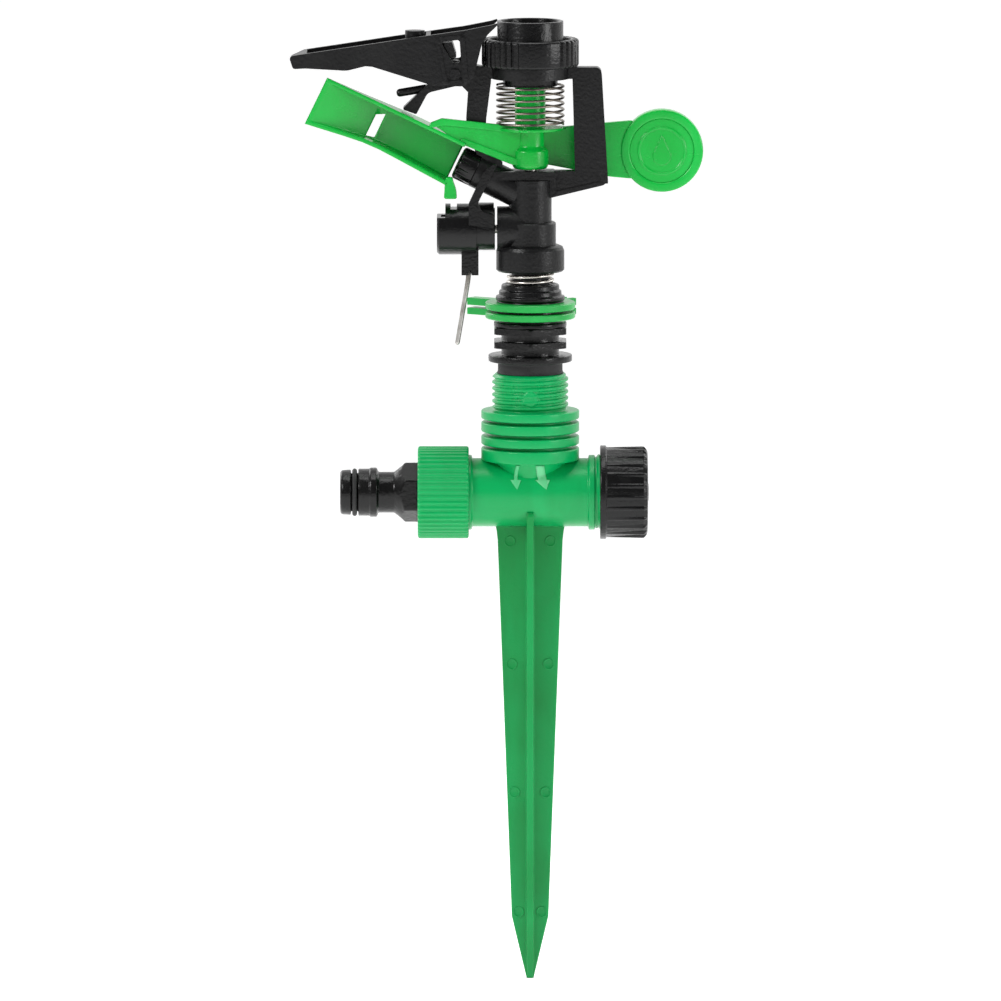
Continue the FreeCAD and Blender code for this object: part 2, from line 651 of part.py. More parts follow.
def trip_barrel():
    end, step, start = -32.3, -18.7, -12.2
    shell = turned_x([(end, 0), (end, BARREL_R - 0.8), (end + 0.8, BARREL_R), (step, BARREL_R),
                      (step, BARREL_NECK_R), (start, BARREL_NECK_R), (start, 0)], TRIP_Z)
    block = box(-23.8, -17.9, -3.4, 3.4, 88.0, 97.0)
    block = block.cut(plate([(-21.6, 87), (-20.1, 87), (-20.85, 90.2)], -5, 5))
    shell = fuse([shell, block])
    cavity = cyl_x(BARREL_BORE_R, -30.9, -14.0, TRIP_Z)
    pivot = cyl_x(1.5 + RUN, -31.2, -12, TRIP_Z)
    cam = box(-33, -29.4, -10, 10, TRIP_Z + 4.6, TRIP_Z + 10)
    notch = box(-27.6, -25.4, -10, 10, TRIP_Z + 7.3, TRIP_Z + 10)
    wire_hole = cyl(WIRE_R + SNUG, 87, 93.2, -21.4, -3.0 + 0.9)
    for shape in (cavity, pivot, cam, notch, wire_hole):
        shell = shell.cut(shape)
    for k in range(4):
        flute = cyl_x(1.0, -18.8, -12, TRIP_Z)
        flute.translate(V(0, 0, BARREL_NECK_R + 0.5))
        flute.rotate(V(0, 0, TRIP_Z), V(1, 0, 0), 200 + 35 * k)
        shell = shell.cut(flute)
    return shell


def reversing_lever():
    blade = plate([(-21.3, 106), (-21.3, 113.5), (-16.0, 124.9), (-12.6, 127.2), (-11.4, 126.8), (-13.0, 124.2),
                   (-18.2, 113.4), (-16.6, 110.6), (-12.6, 109.6), (-12.6, 105)], -9.3, -6.6,
                  (0.5, 2, 3, 0.8, 0.6, 2, 2, 2, 0.5, 0.5))
    band = cyl_x(9.2, -18.4, -12.6, TRIP_Z).cut(cyl_x(BARREL_NECK_R + SNUG, -20, -11, TRIP_Z))
    band = band.common(box(-20, -11, -10, 2, TRIP_Z, TRIP_Z + 12))
    lever = blade.fuse(band)
    lever = lever.cut(cyl_x(BARREL_R + SNUG, -33, -18.68, TRIP_Z))
    lever = lever.cut(cyl_x(BARREL_NECK_R + SNUG, -19, -11, TRIP_Z))
    return lever.removeSplitter()


def trip_wire():
    """A wire clamped in the block, bent once to hang outwards in front of the collars."""
    y = -2.1
    top, bend, foot = V(-21.4, y, 93.0), V(-21.4, y, 87.0), V(-25.2, y - 0.9, 64.6)
    lower = foot - bend
    pieces = [Part.makeCylinder(WIRE_R, (top - bend).Length, bend, V(0, 0, 1)), Part.makeSphere(WIRE_R, bend),
              Part.makeCylinder(WIRE_R, lower.Length, bend, lower), Part.makeSphere(WIRE_R, foot)]
    return fuse(pieces)


# Deflector

def deflector():
    """A trough whose closed underside faces the jet, on two ears either side of the bracket."""
    half = DEFLECTOR_HALF
    outline = [(-83.4, 164.6), (-81.9, 160.2), (-77.6, 160.4), (-63.4, 159.6), (-56.9, 161.2), (-54.6, 161.0),
               (-39.2, 156.2), (-33.5, 154.4), (-22.8, 154.2), (-19.6, 157.2), (-16.6, 169.4), (-14.6, 172.2),
               (-10.3, 176.4), (-13.5, 175.4), (-22.6, 173.6), (-39.6, 171.2)]
    radii = (1.2, 1.0, 3, 8, 2, 2, 8, 4, 3, 4, 3, 3, 0.5, 3, 12, 12)
    body = plate(outline, -half, half, radii)
    nose = plan([(-90, -half - 1), (-83.9, -half - 1), (-78.0, half + 1), (-90, half + 1)], 150, 180)
    body = body.cut(nose)
    inside = half - DEFLECTOR_WALL
    trough = plate([(-77.0, 164.2), (-63.4, 163.2), (-56.6, 164.8), (-41, 160.4), (-36, 160.4), (-36, 185),
                    (-80, 185)], -inside, inside, (1, 4, 2, 3, 1, 0, 0))
    rear = box(-34.4, -8, -inside, inside, 150, 185)
    under = plate([(-38.4, 150), (-30, 150), (-30, 158.6), (-35.4, 158.6)], -inside, inside)
    post = cyl(3.4, 159, 172.8, -39.9, 0)
    body = body.cut(trough).cut(rear).cut(under).fuse(post)
    for middle in (-half, half):
        rim = plate([(-33.0, 171.2), (-22.8, 172.2), (-21.4, 155.4), (-29.6, 154.6)],
                    middle - 0.5, middle + 0.5, 1.5)
        inner = plate([(-31.4, 169.6), (-24.4, 170.4), (-23.2, 156.5), (-28.6, 156.0)],
                      middle - 1, middle + 1, 1.0)
        body = body.fuse(rim.cut(inner))
    window = plate([(-31.0, 169.6), (-24.4, 170.4), (-23.9, 162.6), (-26.6, 162.3)], -20, 20, 0.9)
    body = body.cut(window)
    x, z = HINGE
    return body.cut(cyl_y(HINGE_PIN_R + RUN, -20, 20, x, z)).removeSplitter()


def deflector_link():
    """The dark bar that ties the deflector's walls across its window."""
    half = DEFLECTOR_HALF - DEFLECTOR_WALL - SNUG
    return plate([(-30.2, 169.0), (-27.0, 169.4), (-25.4, 164.0), (-27.4, 163.8)], -half, half, 0.5)


PIECES = (spike_body, union_nut, hose_nipple, nipple_o_ring, union_washer, end_cap, end_cap_washer,
          riser_sleeve, sleeve_seal, trip_collar_lower, trip_collar_upper, dust_cap, stem_spring,
          stem_tube, stem_washers, head_body, nozzle_tip, arm_pivot_pin, trip_pivot_pin, deflector_pin,
          trip_spring, impact_arm, arm_spring, counterweight_slug, counterweight_cover, tension_cap,
          trip_barrel, reversing_lever, trip_wire, deflector, deflector_link)


def main():
    os.makedirs("parts", exist_ok=True)
    for piece in PIECES:
        name = piece.__name__
        shape = piece()
        shape.exportStep("parts/" + name + ".step")
        print(name, "solids", len(shape.Solids), "valid", shape.isValid(), "volume", round(shape.Volume, 1))


main()
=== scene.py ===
"""Looks of an impact sprinkler head on a spiked T fitting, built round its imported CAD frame.

Each sub-assembly is a class. Its sizes are dataclass fields in millimetres, and its methods build
the meshes as numpy surfaces or as softened copies of CAD nodes, dress them and let them ride on the
CAD's bodies. Blender's own units are metres, so MM turns one into the other.
"""

import json
import logging
import math
from collections.abc import Callable, Sequence
from dataclasses import dataclass, field
from enum import Enum

import bmesh
import bpy
import numpy as np
from mathutils import Matrix, Vector


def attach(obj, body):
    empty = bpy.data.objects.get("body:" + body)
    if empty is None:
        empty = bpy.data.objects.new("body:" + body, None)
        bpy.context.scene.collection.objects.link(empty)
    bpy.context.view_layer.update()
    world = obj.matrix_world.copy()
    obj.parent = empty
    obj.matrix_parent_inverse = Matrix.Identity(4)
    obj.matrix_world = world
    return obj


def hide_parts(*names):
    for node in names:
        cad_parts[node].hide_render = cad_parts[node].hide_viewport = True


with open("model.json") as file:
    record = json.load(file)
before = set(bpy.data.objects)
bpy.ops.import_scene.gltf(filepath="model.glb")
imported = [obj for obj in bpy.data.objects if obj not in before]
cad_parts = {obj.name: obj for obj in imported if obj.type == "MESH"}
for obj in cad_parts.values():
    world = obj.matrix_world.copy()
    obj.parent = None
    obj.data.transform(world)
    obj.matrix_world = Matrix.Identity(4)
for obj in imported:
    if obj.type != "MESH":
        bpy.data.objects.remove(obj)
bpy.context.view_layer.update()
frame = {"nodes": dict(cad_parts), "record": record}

LOG = logging.getLogger("sprinkler")
MM = 0.001
TURN = 2 * math.pi
MERGE_M = 2e-5  # corners of a CAD mesh nearer than this are one
SLIVER_M = 1e-5  # edges shorter than this are dropped
Points = np.ndarray
Value = "Sock | float"


# ---------------------------------------------------------------- shader sockets


class Sock:
    """A shader socket that Python's operators can work on; each operator adds one Math node."""

    def __init__(self, tree: bpy.types.NodeTree, socket: bpy.types.NodeSocket) -> None:
        """Wrap an output socket of a node tree."""
        self.tree = tree
        self.socket = socket

    def _math(self, operation: str, first: Value, second: Value) -> "Sock":
        """Add one Math node.

        Args:
            operation: the Math node's operation.
            first: its first value, a Sock or a number.
            second: its second value, a Sock or a number.

        Returns:
            The node's result.
        """
        node = self.tree.nodes.new("ShaderNodeMath")
        node.operation = operation
        for slot, value in zip(node.inputs, (first, second)):
            if isinstance(value, Sock):
                self.tree.links.new(value.socket, slot)
            else:
                slot.default_value = value
        return Sock(self.tree, node.outputs[0])

    def __add__(self, other: Value) -> "Sock":
        """This value plus the other."""
        return self._math("ADD", self, other)

    def __radd__(self, other: Value) -> "Sock":
        """The other value plus this."""
        return self._math("ADD", other, self)

    def __sub__(self, other: Value) -> "Sock":
        """This value minus the other."""
        return self._math("SUBTRACT", self, other)

    def __rsub__(self, other: Value) -> "Sock":
        """The other value minus this."""
        return self._math("SUBTRACT", other, self)

    def __mul__(self, other: Value) -> "Sock":
        """This value times the other."""
        return self._math("MULTIPLY", self, other)

    def __rmul__(self, other: Value) -> "Sock":
        """The other value times this."""
        return self._math("MULTIPLY", other, self)


class Graph:
    """The node graph of one material, built from its textures up to its Principled BSDF."""

    def __init__(self, name: str) -> None:
        """Start an empty material with a Principled BSDF and an output."""
        self.material = bpy.data.materials.new(name)
        self.material.use_nodes = True
        self.tree = self.material.node_tree
        self.tree.nodes.clear()
        self.shader = self.tree.nodes.new("ShaderNodeBsdfPrincipled")
        output = self.tree.nodes.new("ShaderNodeOutputMaterial")
        self.tree.links.new(self.shader.outputs[0], output.inputs[0])

    def add(self, kind: str, settings: dict | None = None, inputs: dict | None = None,
            out: int | str = 0) -> Sock:
        """Add any node.

        Args:
            kind: the node's type, without the ShaderNode in front.
            settings: its properties; "stops" is a list of (place, colour) for a ramp.
            inputs: values or Socks by the name or number of the node's inputs.
            out: the output that is wanted, by name or number.

        Returns:
            That output.
        """
        node = self.tree.nodes.new("ShaderNode" + kind)
        for key, value in (settings or {}).items():
            if key == "stops":
                ramp = node.color_ramp.elements
                while len(ramp) < len(value):
                    ramp.new(0.5)
                for element, (place, colour) in zip(ramp, value):
                    element.position = place
                    element.color = colour
            else:
                setattr(node, key, value)
        self._fill(node, inputs or {})
        return Sock(self.tree, node.outputs[out])

    def _fill(self, node: bpy.types.Node, inputs: dict) -> None:
        """Set or link a node's inputs."""
        for key, value in inputs.items():
            if isinstance(value, Sock):
                self.tree.links.new(value.socket, node.inputs[key])
            else:
                node.inputs[key].default_value = value

    def surface(self, **inputs: Value) -> bpy.types.Material:
        """Set the Principled BSDF's inputs, named with underscores for spaces, and return the material."""
        self._fill(self.shader, {key.replace("_", " "): value for key, value in inputs.items()})
        return self.material

    def place(self, stretch: Sequence[float] = (1, 1, 1)) -> Sock:
        """Object coordinates, stretched along each axis."""
        coords = self.add("TexCoord", out="Object")
        return self.add("Mapping", {}, {"Vector": coords, "Scale": stretch})

    def noise(self, scale: float, detail: float = 3.0, stretch: Sequence[float] = (1, 1, 1)) -> Sock:
        """A noise value from 0 to 1 with about scale cells to the metre."""
        return self.add("TexNoise", {}, {"Vector": self.place(stretch), "Scale": scale, "Detail": detail},
                        "Fac")

    def blend(self, amount: Value, first: Value, second: Value) -> Sock:
        """A mix of two colours."""
        return self.add("Mix", {"data_type": "RGBA"}, {0: amount, 6: first, 7: second}, 2)

    def step(self, value: Sock, low: float, high: float, bottom: float = 0.0, top: float = 1.0) -> Sock:
        """The value taken smoothly from bottom at low to top at high."""
        return self.add("MapRange", {"interpolation_type": "SMOOTHSTEP"},
                        {"Value": value, "From Min": low, "From Max": high, "To Min": bottom, "To Max": top})

    def bump(self, height: Sock, distance: float, strength: float = 1.0) -> Sock:
        """A normal from a height that spans distance metres."""
        return self.add("Bump", {}, {"Height": height, "Distance": distance, "Strength": strength})


def linear(red: int, green: int, blue: int) -> tuple[float, float, float, float]:
    """A display colour of 0 to 255 as linear light, opaque."""
    values = [c / 255 for c in (red, green, blue)]
    light = [c / 12.92 if c <= 0.04045 else ((c + 0.055) / 1.055) ** 2.4 for c in values]
    return (*light, 1.0)


# ---------------------------------------------------------------- finishes


class Finish(Enum):
    """The finishes that the pieces are made in."""

    TEE_GREEN = "tee_green"
    SPIKE_GREEN = "spike_green"
    MARK_GREEN = "mark_green"
    ARM_GREEN = "arm_green"
    COLLAR_GREEN = "collar_green"
    BLACK = "black_moulding"
    BLACK_SATIN = "black_satin"
    STEEL = "spring_steel"
    DARK_WIRE = "dark_wire"
    PIN = "pin_steel"
    RUBBER = "black_rubber"


@dataclass(frozen=True)
class MouldedPlastic:
    """Injection-moulded plastic: faint flow marks, an uneven gloss and a fine moulded skin."""

    name: str
    colour: tuple[int, int, int]
    deep: tuple[int, int, int]
    pale: tuple[int, int, int]
    roughness: float = 0.3
    uneven: float = 0.12
    skin: float = 0.00003
    glow: float = 0.0
    specular: float = 0.5

    def material(self) -> bpy.types.Material:
        """Build the material.

        Returns:
            A plastic whose colour drifts between three tones, with a rippled, finely pitted surface.
        """
        graph = Graph(self.name)
        cloud = graph.noise(28, 2)
        flow = graph.noise(60, 4, (1, 1, 0.18))
        speck = graph.noise(900, 2)
        scuff = graph.noise(420, 5, (0.25, 1, 1))
        base = graph.blend(graph.step(cloud, 0.35, 0.65), linear(*self.colour), linear(*self.deep))
        base = graph.blend(graph.step(flow, 0.52, 0.72, 0, 0.55), base, linear(*self.pale))
        fine = graph.step(speck, 0.3, 0.7)
        rough = (self.roughness + (cloud - 0.5) * self.uneven
                 + graph.step(scuff, 0.6, 0.75) * (self.uneven * 0.7))
        height = fine * 0.5 + flow * 0.5
        return graph.surface(Base_Color=base, Roughness=rough, Normal=graph.bump(height, self.skin),
                             Subsurface_Weight=self.glow, Subsurface_Radius=(0.6, 1.0, 0.5),
                             Subsurface_Scale=0.0015, Specular_IOR_Level=self.specular)


@dataclass(frozen=True)
class DrawnSteel:
    """Bright drawn steel with fine scratches and a few duller patches."""

    name: str
    colour: tuple[int, int, int]
    dull: tuple[int, int, int]
    roughness: float = 0.22

    def material(self) -> bpy.types.Material:
        """Build the material.

        Returns:
            A metal with streaks across it and patches where the polish has gone.
        """
        graph = Graph(self.name)
        patch = graph.noise(140, 3)
        streak = graph.noise(1500, 2, (0.2, 1, 1))
        base = graph.blend(graph.step(patch, 0.45, 0.7), linear(*self.colour), linear(*self.dull))
        rough = self.roughness + graph.step(patch, 0.45, 0.7) * 0.14 + streak * 0.08
        return graph.surface(Base_Color=base, Metallic=1.0, Roughness=rough,
                             Normal=graph.bump(streak, 0.00001))


@dataclass(frozen=True)
class Rubber:
    """Matt black rubber with a dusty bloom."""

    name: str
    colour: tuple[int, int, int]
    bloom: tuple[int, int, int]

    def material(self) -> bpy.types.Material:
        """Build the material.

        Returns:
            A rough rubber whose bloom comes and goes over the surface.
        """
        graph = Graph(self.name)
        bloom = graph.noise(200, 4)
        grain = graph.noise(2500, 2)
        base = graph.blend(graph.step(bloom, 0.45, 0.75), linear(*self.colour), linear(*self.bloom))
        return graph.surface(Base_Color=base, Roughness=0.55 + bloom * 0.25,
                             Normal=graph.bump(grain, 0.00003))


FINISHES = {
    Finish.TEE_GREEN: MouldedPlastic("tee_green", (0, 158, 84), (0, 146, 74), (0, 168, 92), 0.3,
                                     specular=0.32),
    Finish.SPIKE_GREEN: MouldedPlastic("spike_green", (0, 146, 72), (0, 132, 60), (0, 156, 80), 0.36,
                                       specular=0.3),
    Finish.MARK_GREEN: MouldedPlastic("mark_green", (84, 188, 128), (60, 178, 110), (120, 204, 150), 0.45),
    Finish.ARM_GREEN: MouldedPlastic("arm_green", (8, 172, 62), (2, 156, 50), (22, 184, 72), 0.24,
                                     specular=0.4),
    Finish.COLLAR_GREEN: MouldedPlastic("collar_green", (26, 162, 70), (18, 148, 60), (40, 174, 80), 0.3,
                                        specular=0.4),
    Finish.BLACK: MouldedPlastic("black_moulding", (10, 10, 10), (6, 6, 7), (20, 20, 20), 0.24, 0.2, 0.00008,
                                 specular=0.3),
    Finish.BLACK_SATIN: MouldedPlastic("black_satin", (15, 15, 16), (9, 9, 10), (30, 30, 30), 0.34, 0.22,
                                       0.0001, specular=0.28),
    Finish.STEEL: DrawnSteel("spring_steel", (214, 210, 204), (160, 154, 146)),
    Finish.DARK_WIRE: DrawnSteel("dark_wire", (128, 120, 110), (70, 66, 62), 0.26),
    Finish.PIN: DrawnSteel("pin_steel", (190, 188, 184), (128, 124, 118), 0.3),
    Finish.RUBBER: Rubber("black_rubber", (14, 14, 15), (30, 30, 31)),
}


SLOT_FINISH = {
    "base_green": Finish.TEE_GREEN,
    "arm_green": Finish.ARM_GREEN,
    "black_plastic": Finish.BLACK,
    "steel": Finish.STEEL,
    "black_rubber": Finish.RUBBER,
}


class Paintbox:
    """Makes each finish's material once and hands it out."""

    def __init__(self) -> None:
        """Start with no materials."""
        self._made: dict[Finish, bpy.types.Material] = {}

    def get(self, finish: Finish) -> bpy.types.Material:
        """The material of a finish."""
        if finish not in self._made:
            self._made[finish] = FINISHES[finish].material()
        return self._made[finish]

    def dress(self, piece: bpy.types.Object, finish: Finish) -> bpy.types.Object:
        """Give a piece one finish all over, in place of any it has."""
        piece.data.materials.clear()
        piece.data.materials.append(self.get(finish))
        return piece


PAINT = Paintbox()


# ---------------------------------------------------------------- surfaces


def mesh_object(name: str, points: Points, faces: list | Points) -> bpy.types.Object:
    """Put points and faces, in millimetres, into a new smooth-shaded object at the origin.

    Args:
        name: the piece's name.
        points: an array of n by 3 positions.
        faces: rows of point numbers.

    Returns:
        The linked object.
    """
    mesh = bpy.data.meshes.new(name)
    mesh.from_pydata((points * MM).tolist(), [], faces if isinstance(faces, list) else faces.tolist())
    mesh.polygons.foreach_set("use_smooth", [True] * len(mesh.polygons))
    mesh.update()
    piece = bpy.data.objects.new(name, mesh)
    bpy.context.scene.collection.objects.link(piece)
    return piece


def grid_faces(rows: int, columns: int, wrap_rows: bool, wrap_columns: bool) -> Points:
    """The quads of a grid of points numbered row by row.

    Args:
        rows: how many rows of points.
        columns: how many points in a row.
        wrap_rows: whether the last row joins the first.
        wrap_columns: whether the last point of a row joins the first.

    Returns:
        An array of n by 4 point numbers.
    """
    i = np.arange(rows if wrap_rows else rows - 1)[:, None]
    j = np.arange(columns if wrap_columns else columns - 1)[None, :]
    after_i, after_j = (i + 1) % rows, (j + 1) % columns
    quads = np.stack([i * columns + j, i * columns + after_j, after_i * columns + after_j,
                      after_i * columns + j],
                     axis=-1)
    return quads.reshape(-1, 4)


def surface(name: str, grid: Points, wrap_rows: bool, wrap_columns: bool,
            cap: bool = False) -> bpy.types.Object:
    """A piece whose skin is a grid of points, turned so that its faces point outwards.

    Args:
        name: the piece's name.
        grid: rows by columns by 3 positions in millimetres.
        wrap_rows: whether the last row joins the first.
        wrap_columns: whether each row closes on itself.
        cap: whether the first and last rows are filled with one face each.

    Returns:
        The piece.
    """
    rows, columns = grid.shape[:2]
    faces = grid_faces(rows, columns, wrap_rows, wrap_columns).tolist()
    if cap:
        faces.append(list(range(columns))[::-1])
        faces.append([(rows - 1) * columns + j for j in range(columns)])
    piece = mesh_object(name, grid.reshape(-1, 3), faces)
    tidy(piece)
    return piece


def tidy(piece: bpy.types.Object, reach: float = 1e-7) -> None:
    """Merge points that coincide, close poles and turn all faces outwards.

    Args:
        piece: the piece whose mesh is tidied.
        reach: how far apart two points may be, in metres, and still be one.
    """
    work = bmesh.new()
    work.from_mesh(piece.data)
    bmesh.ops.remove_doubles(work, verts=work.verts, dist=reach)
    bmesh.ops.dissolve_degenerate(work, edges=work.edges, dist=reach)
    bmesh.ops.recalc_face_normals(work, faces=work.faces)
    work.to_mesh(piece.data)
    work.free()
    piece.data.polygons.foreach_set("use_smooth", [True] * len(piece.data.polygons))
    piece.data.update()


def soft_edges(piece: bpy.types.Object, width: float, angle: float = 28.0,
               segments: int = 2) -> bpy.types.Object:
    """Round a piece's sharp edges and keep its flat faces flat to the light.

    Args:
        piece: the piece.
        width: the bevel's width in millimetres.
        angle: edges that turn by more than this many degrees are rounded.
        segments: faces across each rounded edge.

    Returns:
        The same piece.
    """
    bevel = piece.modifiers.new("soft_edges", "BEVEL")
    bevel.width = width * MM
    bevel.segments = segments
    bevel.limit_method = "ANGLE"
    bevel.angle_limit = math.radians(angle)
    bevel.use_clamp_overlap = True
    bevel.harden_normals = False
    weighted = piece.modifiers.new("flat_faces", "WEIGHTED_NORMAL")
    weighted.weight = 60
    weighted.keep_sharp = True
    return piece


def softened(node: str, width: float = 0.2, angle: float = 28.0) -> bpy.types.Object:
    """A copy of a CAD node with its triangles merged and its edges rounded.

    Args:
        node: the CAD node's name.
        width: the bevel's width in millimetres.
        angle: edges that turn by more than this many degrees are rounded.

    Returns:
        A new piece that lies exactly where the node does.
    """
    source = frame["nodes"][node].data
    points = np.zeros(len(source.vertices) * 3)
    source.vertices.foreach_get("co", points)
    source.calc_loop_triangles()
    corners = np.zeros(len(source.loop_triangles) * 3, np.int64)
    source.loop_triangles.foreach_get("vertices", corners)
    piece = mesh_object(node + "_shell", points.reshape(-1, 3) / MM, corners.reshape(-1, 3))
    work = bmesh.new()
    work.from_mesh(piece.data)
    bmesh.ops.remove_doubles(work, verts=work.verts, dist=MERGE_M)
    bmesh.ops.dissolve_degenerate(work, edges=work.edges, dist=SLIVER_M)
    work.to_mesh(piece.data)
    work.free()
    piece.data.polygons.foreach_set("use_smooth", [True] * len(piece.data.polygons))
    return soft_edges(piece, width, angle)


# ---------------------------------------------------------------- shapes


def smooth(value: Points, low: float, high: float) -> Points:
    """Each value taken smoothly from 0 at low to 1 at high, as 3t squared less 2t cubed."""
    t = np.clip((value - low) / (high - low), 0, 1)
    return t * t * (3 - 2 * t)


def rounded(corners: Points, reach: float = 0.3, steps: int = 3, closed: bool = True) -> Points:
    """Round each corner of an outline.

    A corner gives way to a curve from a point before it to a point after it, each at most reach away:
    (1 - t) squared of the first, 2t(1 - t) of the corner and t squared of the last.

    Args:
        corners: positions, the corners along the last axis but one.
        reach: how far the curve starts from its corner.
        steps: how many pieces each curve has.
        closed: whether the last corner joins the first; if not, both ends stay sharp.

    Returns:
        The rounded outline, steps + 1 points to a corner.
    """
    before = np.roll(corners, 1, axis=-2) - corners
    after = np.roll(corners, -1, axis=-2) - corners
    before_length = np.linalg.norm(before, axis=-1, keepdims=True) + 1e-9
    after_length = np.linalg.norm(after, axis=-1, keepdims=True) + 1e-9
    first = corners + before * np.minimum(reach / before_length, 0.45)
    last = corners + after * np.minimum(reach / after_length, 0.45)
    t = np.linspace(0, 1, steps + 1)[:, None]
    curve = ((1 - t) ** 2 * first[..., None, :] + 2 * t * (1 - t) * corners[..., None, :]
             + t ** 2 * last[..., None, :])
    if not closed:
        curve[..., 0, :, :] = corners[..., :1, :]
        curve[..., -1, :, :] = corners[..., -1:, :]
    return curve.reshape(*corners.shape[:-2], -1, corners.shape[-1])


Relief = Callable[[Points, Points, Points], tuple[Points, Points]]


@dataclass
class Axis:
    """A line that shapes are turned about: a point on it, its direction and a direction across it."""

    origin: tuple[float, float, float] = (0.0, 0.0, 0.0)
    along: tuple[float, float, float] = (0.0, 0.0, 1.0)
    across: tuple[float, float, float] = (1.0, 0.0, 0.0)

    def lathe(self, name: str, profile: Points, columns: int = 96, closed: bool = True,
              relief: Relief | None = None) -> bpy.types.Object:
        """Turn a profile about the axis.

        A point at height a and radius r goes to origin + a along + r (cos angle across + sin angle third),
        after the relief has been added to a and r.

        Args:
            name: the piece's name.
            profile: rows of (height along the axis, radius).
            columns: points round the axis.
            closed: whether the profile joins up with itself, as a ring's does.
            relief: gives what is added to heights and radii from the angles, heights and radii.

        Returns:
            The piece.
        """
        along, across = np.array(self.along, float), np.array(self.across, float)
        along /= np.linalg.norm(along)
        angle = np.arange(columns)[None, :] / columns * TURN
        height = profile[:, :1] + 0 * angle
        radius = profile[:, 1:] + 0 * angle
        if relief:
            lift, swell = relief(angle + 0 * height, height, radius)
            height, radius = height + lift, radius + swell
        third = np.cross(along, across)
        spoke = np.cos(angle)[..., None] * across + np.sin(angle)[..., None] * third
        grid = np.array(self.origin) + height[..., None] * along + radius[..., None] * spoke
        return surface(name, grid, closed, True)


def ridges(angle: Points, count: int, land: float, slope: float) -> Points:
    """Ribs round an axis, 1 on a crest and 0 between.

    The distance from a crest's middle, as a share of half a pitch, is compared with land; the flank
    is slope wide.
    """
    away = np.abs((angle * count / TURN + 0.5) % 1 - 0.5) * 2
    return 1 - smooth(away, land, land + slope)


def helix_ridge(angle: Points, height: Points, start: float, end: float, pitch: float) -> Points:
    """A screw thread's ridge, 1 on its crest, fading out at both ends.

    The crest lies where height over pitch less the share of a turn is a whole number.
    """
    phase = (height / pitch - angle / TURN) % 1
    crest = 1 - smooth(np.abs(phase - 0.5) * 2, 0.25, 0.8)
    return crest * smooth(height, start, start + 1.2) * (1 - smooth(height, end - 1.2, end))


def hexagon(angle: Points, flat: float) -> Points:
    """The radius of a hexagon whose flats are at distance flat from its axis."""
    return flat / np.cos((angle + TURN / 12) % (TURN / 6) - TURN / 12)


def tube(name: str, path: Points, radius: float, up: tuple[float, float, float],
         sides: int = 12) -> bpy.types.Object:
    """A round wire along a path, with domed ends.

    Each ring stands square to the path; near an end, at distance d inside it, its radius is
    the square root of radius squared less (radius - d) squared.

    Args:
        name: the piece's name.
        path: the points along the wire's middle.
        radius: the wire's radius.
        up: a direction that the path never runs along.
        sides: points round the wire.

    Returns:
        The piece.
    """
    run = np.gradient(path, axis=0)
    run /= np.linalg.norm(run, axis=1, keepdims=True)
    side = np.cross(run, np.array(up, float))
    side /= np.linalg.norm(side, axis=1, keepdims=True)
    top = np.cross(side, run)
    gone = np.concatenate([[0], np.cumsum(np.linalg.norm(np.diff(path, axis=0), axis=1))])
    inside = np.clip(np.minimum(gone, gone[-1] - gone), 0.04 * radius, radius)
    thick = np.sqrt(radius ** 2 - (radius - inside) ** 2)[:, None, None]
    angle = (np.arange(sides) / sides * TURN)[None, :, None]
    grid = path[:, None, :] + thick * (np.cos(angle) * side[:, None, :] + np.sin(angle) * top[:, None, :])
    return surface(name, grid, False, True, cap=True)


def slab(name: str, outline: Points, depths: tuple[float, float], reach: float = 0.6, edge: float = 0.3,
         lean: Callable[[Points], Points] | None = None) -> bpy.types.Object:
    """A plate whose corners and edges are all rounded.

    The outline lies in the XZ plane. Rings of it stand at depths from the first to the second. Over a
    quarter turn t at each side, the ring is drawn in by edge (1 - sin t) and lies edge (1 - cos t) inside.

    Args:
        name: the piece's name.
        outline: rows of (x, z).
        depths: the y of the two faces.
        reach: how far the corners' curves start from them.
        edge: the radius of the edges.
        lean: gives what is added to y at each x.

    Returns:
        The piece.
    """
    shape = rounded(np.array(outline, float), reach, 4)
    along = np.roll(shape, -1, axis=0) - np.roll(shape, 1, axis=0)
    along /= np.linalg.norm(along, axis=1, keepdims=True) + 1e-9
    turned = np.roll(shape, -1, axis=0)
    area = np.sum(shape[:, 0] * turned[:, 1] - shape[:, 1] * turned[:, 0])
    outward = np.column_stack([along[:, 1], -along[:, 0]]) * np.sign(area)
    quarter = np.linspace(0, TURN / 4, 4)
    inset = np.concatenate([edge * (1 - np.sin(quarter)), edge * (1 - np.sin(quarter))[::-1]])
    near, far = depths
    sunk = edge * (1 - np.cos(quarter))
    depth = np.concatenate([near + sunk, (far - sunk)[::-1]])
    flat = shape[None] - outward[None] * inset[:, None, None]
    y = depth[:, None] + 0 * flat[..., 0]
    if lean:
        y = y + lean(flat[..., 0])
    piece = surface(name, np.stack([flat[..., 0], y, flat[..., 1]], axis=-1), False, True, cap=True)
    return flat_lit(piece)


def flat_lit(piece: bpy.types.Object) -> bpy.types.Object:
    """Let the large faces set the shading, so that flats look flat beside their rounded edges."""
    weighted = piece.modifiers.new("flat_faces", "WEIGHTED_NORMAL")
    weighted.weight = 80
    return piece


